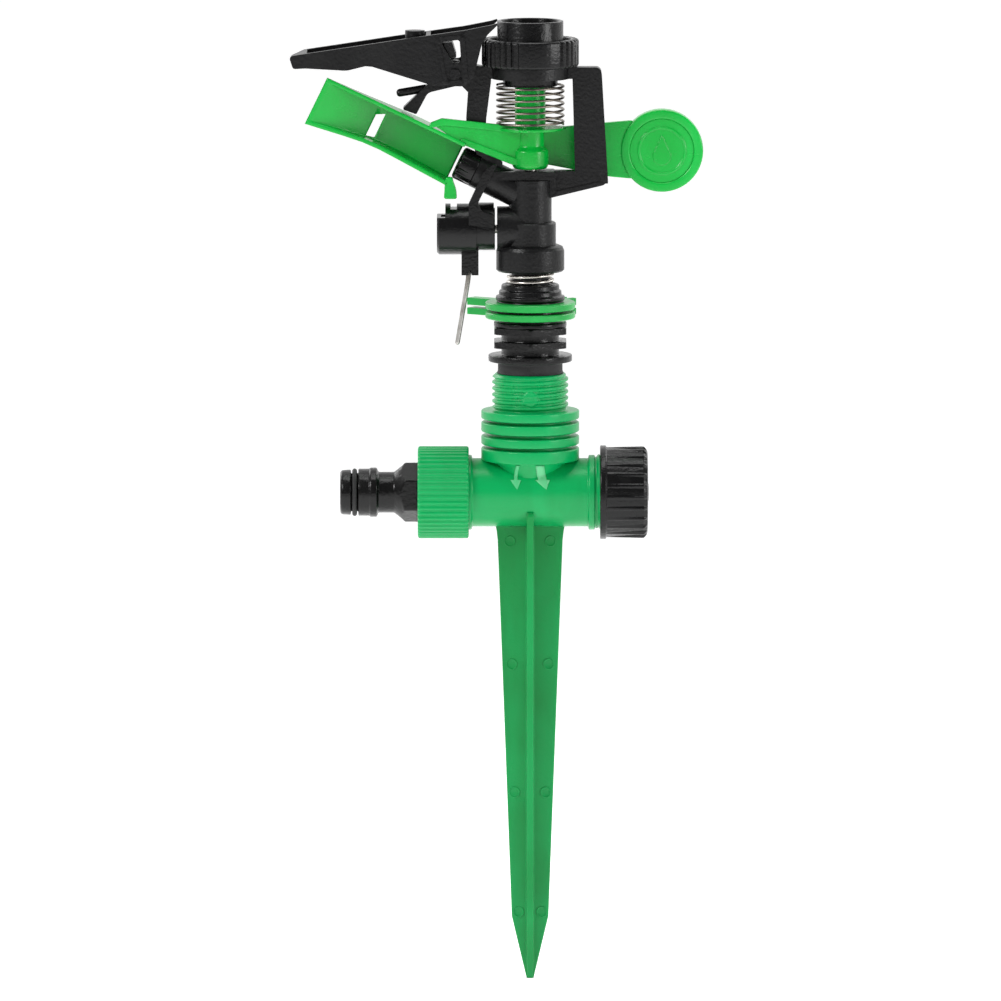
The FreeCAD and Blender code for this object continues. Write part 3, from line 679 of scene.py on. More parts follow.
def coil_path(mean: float, low: float, high: float, turns: float, ends: float = 0.35) -> Points:
    """The middle line of a coil spring whose end turns lie closer than the others.

    The climb per turn is ends times the full one within a turn of either end, growing smoothly.
    """
    turn = np.linspace(0, turns, int(turns * 64) + 1)
    climb = ends + (1 - ends) * smooth(np.minimum(turn, turns - turn), 0.3, 1.3)
    rise = np.concatenate([[0], np.cumsum((climb[1:] + climb[:-1]) / 2)])
    angle = turn * TURN
    return np.stack([mean * np.cos(angle), mean * np.sin(angle), low + (high - low) * rise / rise[-1]],
                    axis=1)


# ---------------------------------------------------------------- placing


def body_of(node: str) -> str:
    """The CAD body that carries a node."""
    return next(body for body, nodes in frame["record"]["behaviour"]["bodies"].items() if node in nodes)


def stand_in(piece: bpy.types.Object, finish: Finish, *nodes: str) -> bpy.types.Object:
    """Dress a piece, let it ride on its nodes' body and take their place.

    Args:
        piece: the finished piece.
        finish: its finish.
        nodes: the CAD nodes that it stands for.

    Returns:
        The same piece.
    """
    PAINT.dress(piece, finish)
    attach(piece, body_of(nodes[0]))
    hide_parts(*nodes)
    LOG.info("%s: %d faces for %s", piece.name, len(piece.data.polygons), ", ".join(nodes))
    return piece


def soften(node: str, finish: Finish, width: float = 0.2) -> bpy.types.Object:
    """Put a softened copy of a node in its place."""
    return stand_in(softened(node, width), finish, node)


# ---------------------------------------------------------------- studio


@dataclass
class Studio:
    """A pale floor, soft lights and a long lens."""

    distance: float = 5.0
    elevation: float = 7.0
    target: tuple[float, float, float] = (-10.3, 0.0, 9.1)
    width: float = 347.3
    sensor: float = 36.0
    floor_z: float = -158.4
    lamps: tuple = field(default=(
        ("key", (-620, -560, 560), 300, 5.2),
        ("fill", (760, -420, 260), 340, 2.8),
        ("back_left", (-560, 560, 420), 420, 1.6),
        ("back_right", (600, 480, 520), 420, 1.6),
        ("top", (0, -60, 820), 460, 2.6),
    ))

    def build(self) -> None:
        """Make the camera, the lights, the world and the floor."""
        self._camera()
        for name, place, size, power in self.lamps:
            self._lamp(name, Vector(place) * MM, size * MM, power)
        self._world()
        self._floor()

    def _camera(self) -> None:
        """A camera that looks along +Y from a little above, its frame as wide as width at the target."""
        lift = math.radians(self.elevation)
        target = Vector(self.target) * MM
        data = bpy.data.cameras.new("camera")
        data.sensor_width = self.sensor
        data.lens = self.sensor * self.distance / (self.width * MM)
        data.clip_end = 200
        camera = bpy.data.objects.new("camera", data)
        camera.location = target + Vector((0, -math.cos(lift), math.sin(lift))) * self.distance
        camera.rotation_euler = (math.pi / 2 - lift, 0, 0)
        bpy.context.scene.collection.objects.link(camera)
        bpy.context.scene.camera = camera

    def _lamp(self, name: str, place: Vector, size: float, power: float) -> None:
        """A square soft box that faces the middle of the object."""
        data = bpy.data.lights.new(name, "AREA")
        data.size = size
        data.energy = power
        lamp = bpy.data.objects.new(name, data)
        lamp.location = place
        lamp.rotation_euler = (Vector((0, 0, 0.03)) - place).to_track_quat("-Z", "Y").to_euler()
        bpy.context.scene.collection.objects.link(lamp)

    def _world(self) -> None:
        """White behind the object and dim in front, so that the soft boxes shape it."""
        world = bpy.data.worlds.new("studio")
        world.use_nodes = True
        tree = world.node_tree
        coords = tree.nodes.new("ShaderNodeTexCoord")
        split = tree.nodes.new("ShaderNodeSeparateXYZ")
        ramp = tree.nodes.new("ShaderNodeMapRange")
        for name, value in (("From Min", -0.25), ("From Max", 0.35), ("To Min", 0.2), ("To Max", 1.1)):
            ramp.inputs[name].default_value = value
        tree.links.new(coords.outputs["Generated"], split.inputs[0])
        tree.links.new(split.outputs["Y"], ramp.inputs["Value"])
        tree.links.new(ramp.outputs[0], tree.nodes["Background"].inputs["Strength"])
        tree.nodes["Background"].inputs["Color"].default_value = (1.0, 1.0, 1.0, 1.0)
        bpy.context.scene.world = world

    def _floor(self) -> None:
        """A wide pale floor under the tip of the spike."""
        half = 60000.0
        corners = np.array([(-half, -half, self.floor_z), (half, -half, self.floor_z),
                            (half, half, self.floor_z),
                            (-half, half, self.floor_z)])
        floor = mesh_object("floor", corners, [[0, 1, 2, 3]])
        graph = Graph("studio_floor")
        drift = graph.noise(3, 2)
        base = graph.blend(drift, (0.95, 0.95, 0.95, 1.0), (0.97, 0.97, 0.97, 1.0))
        grain = graph.noise(600, 2)
        floor.data.materials.append(graph.surface(Base_Color=base, Roughness=0.8 + (drift - 0.5) * 0.1,
                                                  Specular_IOR_Level=0.2, Normal=graph.bump(grain, 0.00002),
                                                  Emission_Color=(1.0, 1.0, 1.0, 1.0), Emission_Strength=0.4))


# ---------------------------------------------------------------- sub-assemblies

TEE_AXIS = Axis((0, 0, 12.0), (1, 0, 0), (0, 1, 0))
RISER_AXIS = Axis()


@dataclass
class GroundFitting:
    """The T with its ringed spigot, and the spike under it."""

    tube_r: float = 11.9
    bore_r: float = 8.0
    root_r: float = 12.35
    thread_depth: float = 0.85
    pitch: float = 2.2
    ends: tuple[float, float] = (-34.0, 36.0)
    spigot_r: float = 14.2
    ring_r: float = 17.0
    rings: tuple = ((23.5, 27.8), (29.0, 32.0), (33.4, 36.75), (37.9, 40.9))
    top_z: float = 53.7
    socket_r: float = 10.5
    fin: float = 2.4
    tip_z: float = -158.3
    tones: tuple = (("spike", Finish.SPIKE_GREEN), ("tee_arrow", Finish.MARK_GREEN))
    marks: tuple = ((-5, 7.0), (-48, 6.4), (-93, 5.4), (-135, 4.0))

    def build(self) -> None:
        """Make and place every piece."""
        for piece in (self._tube(), self._spigot(), self._spike(), *self._arrows(), *self._ejector_marks()):
            finish = next((tone for start, tone in self.tones if piece.name.startswith(start)),
                          Finish.TEE_GREEN)
            stand_in(piece, finish, "spike_body")

    def _tube(self) -> bpy.types.Object:
        """The horizontal tube: a turned profile with a true screw thread near each end."""
        left, right = self.ends
        left_thread = np.linspace(left + 0.5, -22.5, 70)
        right_thread = np.linspace(22.4, right - 0.5, 78)
        shoulder = rounded(np.array([(-22.5, self.root_r), (-22.5, 13.0), (-20.2, 13.0), (-20.2, self.tube_r),
                                     (20.2, self.tube_r), (20.2, 13.0), (22.4, 13.0), (22.4, self.root_r)]),
                           0.5, 4, closed=False)
        outside = np.concatenate([
            [(left, self.bore_r + 0.4), (left, self.root_r - 0.4)],
            np.column_stack([left_thread, np.full(70, self.root_r)]), shoulder[1:-1],
            np.column_stack([right_thread, np.full(78, self.root_r)]),
            [(right, self.root_r - 0.4), (right, self.bore_r + 0.4), (right - 0.4, self.bore_r),
             (left + 0.4, self.bore_r)],
        ])

        def thread(angle: Points, height: Points, radius: Points) -> tuple[Points, Points]:
            """Screw ridges near both ends, outside only."""
            ridge = (helix_ridge(angle, height, left + 0.4, -22.6, self.pitch)
                     + helix_ridge(angle, height, 22.5, right - 0.4, self.pitch))
            return 0 * height, self.thread_depth * ridge * (radius > self.root_r - 0.1)

        return TEE_AXIS.lathe("tee_tube", outside, 120, relief=thread)

    def _spigot(self) -> bpy.types.Object:
        """The upright spigot: a flared foot, rings and a screw thread round its mouth."""
        corners = [(14.0, 7.6), (14.0, 8.8), (18.5, 10.4), (22.0, 12.6), (self.rings[0][0], 13.9)]
        for low, high in self.rings:
            corners += [(low, self.spigot_r), (low, self.ring_r), (high, self.ring_r), (high, self.spigot_r)]
        corners += [(self.rings[-1][1] + 0.05, self.root_r)]
        body = rounded(np.array(corners), 0.55, 4, closed=False)
        height = np.linspace(self.rings[-1][1] + 0.3, self.top_z - 0.4, 90)
        profile = np.concatenate([
            body, np.column_stack([height, np.full(90, self.root_r)]),
            [(self.top_z, self.root_r - 0.4), (self.top_z, self.socket_r + 0.4),
             (self.top_z - 0.4, self.socket_r), (40.0, self.socket_r), (40.0, 7.6)],
        ])

        def thread(angle: Points, z: Points, radius: Points) -> tuple[Points, Points]:
            """Screw ridges above the rings, cut by a small round land at the front."""
            ridge = helix_ridge(angle, z, self.rings[-1][1] + 0.2, self.top_z - 0.2, self.pitch)
            across = (((angle + TURN / 4 + TURN / 2) % TURN) - TURN / 2) * self.root_r
            land = 1 - smooth(np.hypot(across, z - 45.9), 2.4, 3.1)
            ridge = np.maximum(ridge, 0.9 * land)
            on = (radius > self.root_r - 0.1) & (z > self.rings[-1][1] + 0.2)
            return 0 * z, self.thread_depth * ridge * on

        return RISER_AXIS.lathe("tee_spigot", profile, 144, relief=thread)

    def _spike(self) -> bpy.types.Object:
        """The cross-shaped spike: one rounded cross carried down the axis, shrinking to a point.

        The half widths follow straight lines between the mouth, the shoulder and the tip.
        """
        z = np.concatenate([np.linspace(6.0, -4.6, 8), np.linspace(-8, self.tip_z + 23.6, 50),
                            np.linspace(self.tip_z + 21.8, self.tip_z + 0.02, 26)])
        wide = np.interp(-z, [-3.0, 1.0, 4.6, 136.5, 158.3], [12.6, 11.7, 11.3, 6.4, 1.25])
        deep = np.interp(-z, [-6.0, 4.6, 136.5, 158.3], [11.0, 10.5, 6.0, 1.25])
        half = np.full_like(z, self.fin / 2)
        half[-8:] = np.linspace(self.fin / 2, 0.75, 8)
        wide, deep = np.maximum(wide, half + 0.1), np.maximum(deep, half + 0.1)
        cross = np.stack([
            np.stack([a, b], axis=-1) for a, b in
            ((wide, -half), (wide, half), (half, half), (half, deep), (-half, deep), (-half, half),
             (-wide, half), (-wide, -half), (-half, -half), (-half, -deep), (half, -deep), (half, -half))
        ], axis=1)
        outline = rounded(cross, 0.55, 4)
        grid = np.concatenate([outline, np.broadcast_to(z[:, None, None], (*outline.shape[:2], 1))], axis=-1)
        return surface("spike_fins", grid, False, True, cap=True)

    def _ejector_marks(self) -> list[bpy.types.Object]:
        """Shallow round pads on the flat fins, where the mould's pins pushed."""
        pads = []
        for row, (z, x) in enumerate(self.marks):
            for side in (-1, 1):
                axis = Axis((side * x, -self.fin / 2, z), (0, -1, 0))
                profile = rounded(np.array([(-0.4, 2.0), (0.16, 2.0), (0.16, 1.55), (0.05, 1.5),
                                            (0.05, 0.0)]),
                                  0.08, 2, closed=False)
                profile = np.concatenate([[(-0.4, 0.0)], profile])
                name = f"spike_pad_{row + 1}_{'left' if side < 0 else 'right'}"
                pads.append(axis.lathe(name, profile, 36, closed=False))
        return pads

    def _arrows(self) -> list[bpy.types.Object]:
        """Two flow arrows that lie on the front of the tube and the spigot's foot.

        The skin stands at the larger of the tube's and the foot's depth at (x, z); the arrow's face is
        a quarter of a millimetre proud of it.
        """
        arrows = []
        for name, x, half, head in (("left", -5.0, 0.6, 1.9), ("right", 4.2, 1.5, 2.6)):
            z = np.concatenate([np.linspace(22.8, 17.6, 12), [17.55], np.linspace(17.2, 14.4, 8)])[:, None]
            width = np.where(z > 17.58, half, head * (z - 14.3) / 3.3)
            share = np.array([-1, -1, -0.5, 0, 0.5, 1, 1])[None, :]
            fall = (22.8 - z) / 8.4
            bow = 2.2 * fall ** 2 - 0.8 if name == "right" else 2.4 * (fall - 0.55) ** 2
            across = x + bow + share * width
            foot_r = np.interp(z, [14.0, 18.5, 22.0, 23.5], [8.8, 10.4, 12.6, 13.9])
            depth = np.maximum(np.sqrt(np.maximum(self.tube_r ** 2 - (z - 12.0) ** 2, 0)),
                               np.sqrt(np.maximum(foot_r ** 2 - across ** 2, 0)))
            proud = np.where(np.array([1, 0, 0, 0, 0, 0, 1])[None, :] > 0, -0.8, 0.28)
            grid = np.stack([across, -(depth + proud), z + 0 * across], axis=-1)
            arrows.append(surface(f"tee_arrow_{name}", grid, False, True, cap=True))
        return arrows


@dataclass
class HoseSide:
    """The union nut and quick-connect nose at the left, and the end cap at the right."""

    nut_r: float = 16.0
    nut_ribs: int = 50
    nut_rib_depth: float = 0.5
    cap_ribs: int = 24
    cap_rib_depth: float = 0.8
    bore_r: float = 13.45
    nose_bore_r: float = 5.5
    hex_flat: float = 9.0

    def build(self) -> None:
        """Make and place every piece."""
        stand_in(self._nut(), Finish.TEE_GREEN, "union_nut")
        stand_in(self._nose(), Finish.BLACK, "hose_nipple")
        stand_in(self._o_ring(), Finish.RUBBER, "nipple_o_ring")
        stand_in(self._cap(), Finish.BLACK, "end_cap")
        for node in ("union_washer", "end_cap_washer"):
            soften(node, Finish.RUBBER, 0.15)

    def _nut(self) -> bpy.types.Object:
        """A turned ring with rounded ribs all along it."""
        corners = np.array([(-39.0, 10.55), (-39.0, self.nut_r - 0.6), (-38.5, self.nut_r),
                            (-21.8, self.nut_r),
                            (-21.3, self.nut_r - 0.5), (-21.3, self.bore_r), (-38.1, self.bore_r),
                            (-38.1, 10.55)])

        def ribs(angle: Points, height: Points, radius: Points) -> tuple[Points, Points]:
            """Grooves between the ribs, from one rim to the other."""
            groove = 1 - ridges(angle, self.nut_ribs, 0.3, 0.4)
            reach = radius > self.nut_r - 1.2
            return 0 * height, -self.nut_rib_depth * groove * reach

        return TEE_AXIS.lathe("union_nut_ribbed", rounded(corners, 0.4, 3), self.nut_ribs * 8, relief=ribs)

    def _nose(self) -> bpy.types.Object:
        """The quick-connect nose, turned, with a hexagon by its flange."""
        corners = np.array([(-65.9, self.nose_bore_r), (-65.9, 7.0), (-65.3, 7.7), (-62.2, 7.9), (-62.2, 6.6),
                            (-59.6, 6.6), (-59.6, 8.2), (-55.8, 8.2), (-55.4, 8.6), (-53.2, 8.6),
                            (-52.6, 7.1),
                            (-47.2, 7.1), (-44.4, 9.3), (-43.4, 10.35), (-38.0, 10.35), (-38.0, 12.2),
                            (-35.8, 12.2), (-35.8, 7.5), (-20.0, 7.5), (-20.0, self.nose_bore_r)])

        def hexagonal(angle: Points, height: Points, radius: Points) -> tuple[Points, Points]:
            """The radius is cut down to a hexagon's on the nut's stretch."""
            limit = hexagon(angle, self.hex_flat)
            on = (height > -45.0) & (height < -37.9) & (radius < 11.0) & (radius > 8.0)
            return 0 * height, np.where(on, np.minimum(limit - radius, 0), 0)

        return TEE_AXIS.lathe("hose_nose", rounded(corners, 0.4, 3), 144, relief=hexagonal)

    def _o_ring(self) -> bpy.types.Object:
        """A torus: a circle of the cord's radius turned about the nose's axis."""
        angle = np.arange(20) / 20 * TURN
        profile = np.column_stack([-60.9 + 0.82 * np.cos(angle), 7.45 + 0.82 * np.sin(angle)])
        return TEE_AXIS.lathe("nose_o_ring", profile, 96)

    def _cap(self) -> bpy.types.Object:
        """The closed cap: a rim, ribs that fade at the far end, and a shallow boss."""
        corners = np.array([(38.3, 0.0), (38.3, self.bore_r), (24.2, self.bore_r), (24.2, 16.3), (26.3, 16.3),
                            (26.35, 15.7), (39.4, 15.7), (40.6, 14.6), (40.8, 13.2), (40.8, 3.6), (41.1, 2.8),
                            (41.1, 0.0)])

        def ribs(angle: Points, height: Points, radius: Points) -> tuple[Points, Points]:
            """Narrow ridges with broad flats between them, which start beyond the rim."""
            flat = 1 - ridges(angle, self.cap_ribs, 0.2, 0.16)
            reach = smooth(height, 27.3, 28.2) * (radius > 14.0) * (1 - smooth(height, 39.8, 40.6))
            return 0 * height, (0.3 - self.cap_rib_depth * flat) * reach

        profile = rounded(corners, 0.45, 3, closed=False)
        return TEE_AXIS.lathe("end_cap_ribbed", profile, self.cap_ribs * 16, closed=False, relief=ribs)


@dataclass
class Bearing:
    """The sleeve in the spigot, the collars on it, and the parts of the stem."""

    stem_r: float = 6.55
    sleeve_r: float = 10.0
    seat_r: float = 11.4
    flange_r: float = 14.5
    hex_flat: float = 12.5
    hex_z: tuple[float, float] = (62.9, 67.7)

    def build(self) -> None:
        """Make and place every piece."""
        stand_in(self._sleeve(), Finish.BLACK, "riser_sleeve")
        stand_in(self._dust_cap(), Finish.BLACK, "dust_cap")
        spring = tube("stem_coil", coil_path(7.8, 85.15, 92.5, 4.5), 0.5, (0, 0, 1))
        stand_in(spring, Finish.STEEL, "stem_spring")
        for node in ("trip_collar_lower", "trip_collar_upper"):
            soften(node, Finish.COLLAR_GREEN, 0.25)
        stand_in(self._seal(), Finish.RUBBER, "sleeve_seal")
        soften("stem_tube", Finish.BLACK_SATIN)
        soften("stem_washers", Finish.RUBBER)

    def _sleeve(self) -> bpy.types.Object:
        """The sleeve, turned, with a round flange and two hexagonal ones."""
        corners = [(45.0, self.stem_r), (45.0, 9.6), (57.9, 9.6), (57.9, self.flange_r),
                   (60.2, self.flange_r),
                   (60.2, self.sleeve_r)]
        for z in self.hex_z:
            corners += [(z, self.sleeve_r), (z, 14.2), (z + 2.2, 14.2), (z + 2.2, self.sleeve_r)]
        corners += [(70.0, self.sleeve_r), (70.0, 12.6), (71.6, 12.6), (71.6, self.seat_r),
                    (79.0, self.seat_r),
                    (79.0, 8.6), (83.0, 8.6), (83.0, self.stem_r)]

        def hexagonal(angle: Points, z: Points, radius: Points) -> tuple[Points, Points]:
            """The radius is cut down to a hexagon's on the two nuts."""
            limit = hexagon(angle, self.hex_flat)
            on = (z > self.hex_z[0] - 0.1) & (z < self.hex_z[1] + 2.3) & (radius > 11.0)
            return 0 * z, np.where(on, np.minimum(limit - radius, 0), 0)

        return RISER_AXIS.lathe("sleeve_turned", rounded(np.array(corners), 0.35, 3), 144, relief=hexagonal)

    def _seal(self) -> bpy.types.Object:
        """The washer between the spigot's mouth and the sleeve's flange, a little waisted."""
        corners = np.array([(53.75, 9.65), (53.75, 11.6), (54.6, 11.2), (57.1, 11.2), (57.85, 11.6),
                            (57.85, 9.65)])
        return RISER_AXIS.lathe("seal_turned", rounded(corners, 0.3, 3), 96)

    def _dust_cap(self) -> bpy.types.Object:
        """Three steps that narrow upwards, with soft shoulders."""
        corners = np.array([(79.05, 8.65), (79.05, 11.7), (79.4, 11.95), (80.6, 11.95), (80.9, 10.9),
                            (82.5, 10.8),
                            (82.8, 10.1), (84.5, 10.0), (84.8, 9.4), (84.8, 8.9), (84.4, 8.7), (84.4, 7.0),
                            (83.1, 7.0), (83.1, 8.65)])
        return RISER_AXIS.lathe("dust_cap_turned", rounded(corners, 0.3, 3), 96)


@dataclass
class Head:
    """The black head: its body, nozzle, pins and the cap that sets the arm spring."""

    jet_angle: float = 26.0
    jet_z: float = 115.0
    nozzle_start: float = 21.1
    nozzle_length: float = 27.8
    nozzle_lugs: int = 8
    knurl: int = 40
    knurl_r: float = 16.8

    def build(self) -> None:
        """Make and place every piece."""
        soften("head_body", Finish.BLACK_SATIN, 0.25)
        stand_in(self._nozzle(), Finish.BLACK, "nozzle_tip")
        stand_in(self._cap(), Finish.BLACK, "tension_cap")
        for node in ("arm_pivot_pin", "trip_pivot_pin"):
            soften(node, Finish.PIN, 0.15)
        soften("deflector_pin", Finish.BLACK, 0.15)
        rotation = np.array([(0, 0, 1), (0, 1, 0), (-1, 0, 0)])
        path = coil_path(3.6, 14.5, 29.0, 6) @ rotation
        stand_in(tube("trip_coil", path + np.array((0, 0, 103.8)), 0.45, (1, 0, 0)), Finish.STEEL,
                 "trip_spring")

    def _nozzle(self) -> bpy.types.Object:
        """The lugged nozzle, turned about the jet's line."""
        lift = math.radians(self.jet_angle)
        jet = (-math.cos(lift), 0.0, math.sin(lift))
        axis = Axis((0, 0, self.jet_z), jet, (math.sin(lift), 0, math.cos(lift)))
        start, end = self.nozzle_start, self.nozzle_length
        corners = np.array([(start - 5.4, 3.4), (start - 5.4, 4.5), (start, 4.5), (start, 5.85),
                            (end - 0.7, 5.85),
                            (end - 0.05, 5.1), (end - 0.05, 2.9), (end - 0.6, 2.2), (start + 2, 2.2)])

        def lugs(angle: Points, height: Points, radius: Points) -> tuple[Points, Points]:
            """Grooves between the lugs that stop at a plain collar."""
            groove = 1 - ridges(angle, self.nozzle_lugs, 0.5, 0.22)
            reach = smooth(height, start + 1.4, start + 1.9) * (radius > 4.9)
            return 0 * height, -0.85 * groove * reach

        return axis.lathe("nozzle_lugged", rounded(corners, 0.3, 3), self.nozzle_lugs * 16, relief=lugs)

    def _cap(self) -> bpy.types.Object:
        """The spring's cap: neck, knurled ring with a plain front, well and open cup with a floor."""
        corners = np.array([(163.4, 0.0), (163.4, 2.5), (157.8, 2.5), (157.8, 8.0), (153.6, 8.0),
                            (153.6, 9.5),
                            (160.5, 9.5), (160.5, 16.3), (161.1, self.knurl_r), (169.4, self.knurl_r),
                            (170.0, 16.2), (170.0, 14.0), (164.6, 14.0), (164.6, 11.45), (176.2, 11.45),
                            (176.2, 10.0), (170.2, 10.0), (170.2, 0.0)])

        def knurl(angle: Points, z: Points, radius: Points) -> tuple[Points, Points]:
            """Grooves round the ring, left out over a plain sector that faces the front and right."""
            groove = 1 - ridges(angle, self.knurl, 0.48, 0.2)
            front = (angle - math.radians(255)) % TURN
            plain = smooth(front, 0.0, 0.02) * (1 - smooth(front, math.radians(52), math.radians(53.5)))
            reach = (radius > 15.0) * (1 - plain)
            return 0 * z, -1.25 * groove * reach

        profile = rounded(corners, 0.35, 3, closed=False)
        return RISER_AXIS.lathe("tension_cap_knurled", profile, self.knurl * 12, closed=False, relief=knurl)


@dataclass
class Arm:
    """The green swinging arm, its spring and its counterweight."""

    disc: tuple[float, float] = (45.6, 130.4)
    cover_y: float = 5.8
    cover_r: float = 11.06

    def build(self) -> None:
        """Make and place every piece."""
        for piece in (self._hub(), self._bucket(), self._disc(), *self._plates()):
            stand_in(piece, Finish.ARM_GREEN, "impact_arm")
        spring = tube("arm_coil", coil_path(11.5, 140.2, 153.85, 7.5), 0.42, (0, 0, 1))
        stand_in(spring, Finish.DARK_WIRE, "arm_spring")
        stand_in(self._cover(), Finish.ARM_GREEN, "counterweight_cover")
        soften("counterweight_slug", Finish.PIN)

    def _hub(self) -> bpy.types.Object:
        """The hub: a bulge, a neck, a thin flange with three tabs, and a post inside the spring."""
        corners = np.array([(124.8, 2.45), (124.8, 5.5), (126.0, 6.3), (131.2, 6.3), (132.6, 4.8),
                            (138.3, 4.8),
                            (138.3, 11.4), (139.3, 11.4), (139.3, 5.3), (155.3, 5.3), (155.7, 4.9),
                            (155.7, 2.45)])

        def tabs(angle: Points, z: Points, radius: Points) -> tuple[Points, Points]:
            """The flange reaches further out round three directions, a third of a turn apart."""
            away = np.abs((angle - math.radians(20) + TURN / 6) % (TURN / 3) - TURN / 6)
            return 0 * z, 1.45 * (1 - smooth(away, 0.10, 0.15)) * (radius > 10.8)

        return RISER_AXIS.lathe("arm_hub", rounded(corners, 0.5, 4), 180, relief=tabs)

    def _disc(self) -> bpy.types.Object:
        """The counterweight's disc, turned, with a recess for its cover."""
        x, z = self.disc
        axis = Axis((x, 0, z), (0, -1, 0), (1, 0, 0))
        corners = np.array([(-11.4, 0), (-11.4, 14.3), (-5.2, 14.3), (-5.2, 11.1), (-6.9, 11.1), (-6.9, 9.6),
                            (-10.1, 9.6), (-10.1, 0)])
        return axis.lathe("arm_disc", rounded(corners, 0.75, 5, closed=False), 160, closed=False)

    def _plates(self) -> list[bpy.types.Object]:
        """The two beams and the striker's foot."""

        def left(x: Points) -> Points:
            """Towards the front as x falls."""
            return 4.8 * (x + 2) / 34

        def right(x: Points) -> Points:
            """Towards the back as x grows."""
            return 3.4 * (x - 3) / 31

        web = [(-2.6, 126.6), (-6.6, 126.6), (-23.9, 134.0), (-34.6, 141.5), (-30.6, 143.0), (-2.6, 139.6)]
        top = [(-2.6, 137.2), (-29.8, 140.5), (-34.9, 139.6), (-34.9, 141.2), (-30.6, 143.0), (-2.6, 139.6)]
        low = [(-2.6, 125.8), (-6.6, 126.6), (-24.4, 134.2), (-23.6, 136.2), (-2.6, 127.9)]
        far = [(3.4, 126.4), (27.8, 121.4), (36, 120.6), (36, 141.0), (27.8, 140.4), (3.4, 138.4)]
        foot = [(-29.4, 122.5), (-29.9, 115.0), (-25.3, 115.0), (-25.6, 118.4), (-26.6, 121.0),
                (-26.9, 122.5)]
        return [
            slab("arm_beam_web", web, (-3.1, -2.1), 0.5, 0.1, left),
            slab("arm_beam_top_rim", top, (-3.9, -2.2), 1.2, 0.4, left),
            slab("arm_beam_low_rim", low, (-3.9, -2.2), 1.2, 0.4, left),
            slab("arm_beam_right", far, (2.4, 5.0), 1.5, 0.4, right),
            slab("arm_foot", foot, (-8.2, -4.4), 0.9, 0.5),
        ]

    def _bucket(self) -> bpy.types.Object:
        """A channel along the jet: a C-shaped section carried from the nozzle outwards.

        The section's back wall follows a line that runs straight and then crosses to the front; its
        flanges reach from the wall to the front rim. A slanted slot goes through the wall.
        """
        lift = math.radians(26.0)
        jet, up = np.array([-math.cos(lift), 0, math.sin(lift)]), np.array([math.sin(lift), 0,
                                                                            math.cos(lift)])
        mouth = np.array([0, 0, 115.0]) + 27.8 * jet
        u = np.concatenate([np.linspace(0.6, 29.7, 42), np.linspace(32.7, 53.7, 36)])
        bend = rounded(np.array([(0.6, -7.4), (23, -7.4), (38.5, 2.0), (54, 7.7)]), 9, 12, closed=False)
        front = rounded(np.array([(0.6, 8.2), (34, 8.2), (46, 9.2), (54, 9.3)]), 6, 6, closed=False)
        back = np.interp(u, bend[:, 0], bend[:, 1])
        rim = np.maximum(np.interp(u, front[:, 0], front[:, 1]), back + 1.65)
        inner = np.minimum(back + 1.6 + 0.5 * smooth(u, 23, 40), rim - 0.02)
        top = np.interp(u, [0, 55], [7.6, 7.15])
        base = np.interp(u, [0, 20, 27, 33, 40, 55], [-8.6, -7.75, -7.5, -7.75, -8.6, -10.8])
        section = np.stack([np.stack(pair, axis=-1) for pair in (
            (back, base), (rim, base), (rim, base + 1.5), (inner, base + 1.6), (inner, top - 1.5),
            (rim, top - 1.4), (rim, top), (back, top),
        )], axis=1)
        shape = rounded(section, 0.5, 4)
        low, high = np.interp(u, [29.7, 32.7], [-5.2, -6.4]), np.interp(u, [29.7, 32.7], [3.8, 2.4])
        wall_in = [np.stack([inner, height], axis=-1)[:, None] for height in (low, high)]
        wall_out = [np.stack([back, height], axis=-1)[:, None] for height in (high, low)]
        shape = np.concatenate([shape[:, :20], *wall_in, shape[:, 20:], *wall_out], axis=1)
        grid = (mouth + u[:, None, None] * jet + shape[..., :1] * np.array([0, -1, 0]) + shape[..., 1:] * up)
        rows, columns = grid.shape[:2]
        faces = grid_faces(rows, columns, False, True).reshape(rows - 1, columns, 4)
        keep = np.ones((rows - 1, columns), bool)
        keep[41, [20, columns - 2]] = False
        near, far = 41 * columns, 42 * columns
        a, b, c, d = 20, 21, columns - 2, columns - 1
        lining = [[near + a, near + b, near + c, near + d], [far + b, far + a, far + d, far + c],
                  [near + b, far + b, far + c, near + c], [far + a, near + a, near + d, far + d]]
        ends = [list(range(columns))[::-1], [(rows - 1) * columns + j for j in range(columns)]]
        piece = mesh_object("arm_bucket", grid.reshape(-1, 3), faces[keep].tolist() + lining + ends)
        tidy(piece)
        return flat_lit(piece)

    def _cover(self) -> bpy.types.Object:
        """A disc face with a ring and a water drop standing a third of a millimetre proud.

        The drop is a circle of 3.05 under a point that narrows in a straight line to 5.4 above the
        middle; a smooth step across its edge gives the relief.
        """
        radii = np.concatenate([np.linspace(0, 10.6, 70), [10.9, self.cover_r]])
        rim = [(-1.0, self.cover_r), (-1.0, 0.0)]
        profile = np.concatenate([np.column_stack([np.zeros(72), radii]), rim])

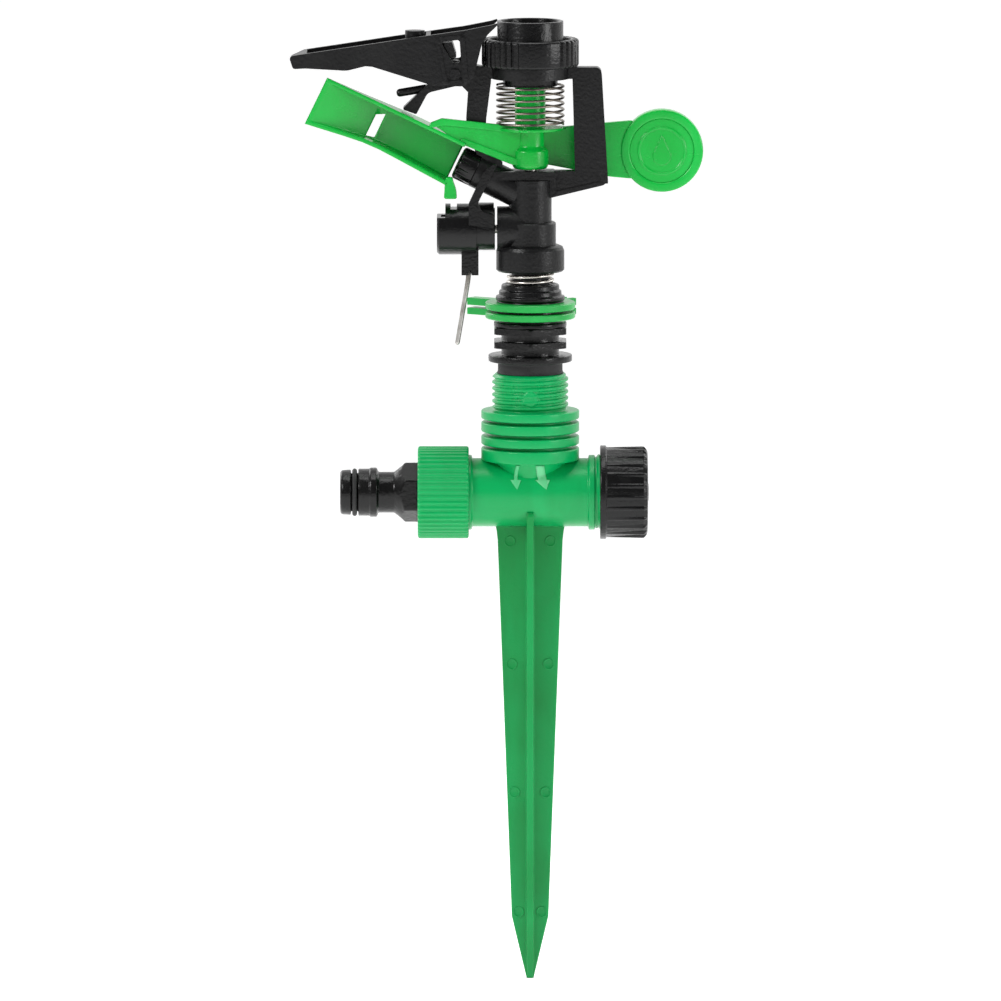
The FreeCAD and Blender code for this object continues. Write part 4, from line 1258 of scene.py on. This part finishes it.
        def mark(angle: Points, height: Points, radius: Points) -> tuple[Points, Points]:
            """The raised ring and drop, on the front only."""
            across, up = radius * np.cos(angle), radius * np.sin(angle)
            ring = 1 - smooth(np.abs(radius - 8.0), 0.25, 0.5)
            round_part = np.hypot(across, up + 1.9) - 3.05
            cone = np.abs(across) - 2.75 * np.clip((5.4 - up) / 6.2, 0, 1)
            pointed = np.maximum(cone, np.maximum(up - 5.4, -0.8 - up))
            drop = 1 - smooth(np.minimum(round_part, pointed), -0.12, 0.16)
            front = height > -0.5
            return 0.33 * np.maximum(ring, drop) * front, 0 * radius

        x, z = self.disc
        axis = Axis((x, self.cover_y, z), (0, -1, 0), (1, 0, 0))
        return axis.lathe("counterweight_face", profile, 160, closed=False, relief=mark)


@dataclass
class Trip:
    """The reversing trip: its barrel, lever and wire."""

    wire_r: float = 0.85

    def build(self) -> None:
        """Make and place every piece."""
        soften("trip_barrel", Finish.BLACK, 0.2)
        soften("reversing_lever", Finish.BLACK, 0.2)
        stand_in(self._wire(), Finish.PIN, "trip_wire")

    def _wire(self) -> bpy.types.Object:
        """A wire with one smooth bend: two straight runs joined by a curve of t squared and its like."""
        corners = np.array([(-21.4, -2.1, 93.0), (-21.4, -2.1, 87.0), (-25.2, -3.0, 64.6)])
        steps = 10
        bend = rounded(corners, 1.6, steps, closed=False)[steps + 1:-steps - 1]
        top = np.linspace(corners[0], bend[0], 8)[:-1]
        foot = np.linspace(bend[-1], corners[-1] - (0.14, 0.03, 0.84), 40)[1:]
        ends = np.linspace(foot[-1], foot[-1] + (foot[-1] - foot[-2]) * 0.01, 2)
        return tube("trip_wire_bent", np.concatenate([top, bend, foot, ends[1:]]), self.wire_r, (1, 0, 0), 20)


@dataclass
class Deflector:
    """The jet deflector over the bucket."""

    edge: float = 0.25

    def build(self) -> None:
        """Make and place every piece."""
        soften("deflector", Finish.BLACK_SATIN, self.edge)
        soften("deflector_link", Finish.BLACK, self.edge)


def main() -> None:
    """Build the studio and every sub-assembly."""
    logging.basicConfig(level=logging.INFO, format="%(name)s %(message)s")
    bpy.context.scene.view_settings.view_transform = "Standard"
    Studio().build()
    for node in frame["record"]["subparts"]:
        PAINT.dress(frame["nodes"][node["node"]], SLOT_FINISH[node["material_slot"]])
    for assembly in (GroundFitting(), HoseSide(), Bearing(), Head(), Arm(), Trip(), Deflector()):
        LOG.info("building %s", type(assembly).__name__)
        assembly.build()


if __name__ == "__main__":
    main()
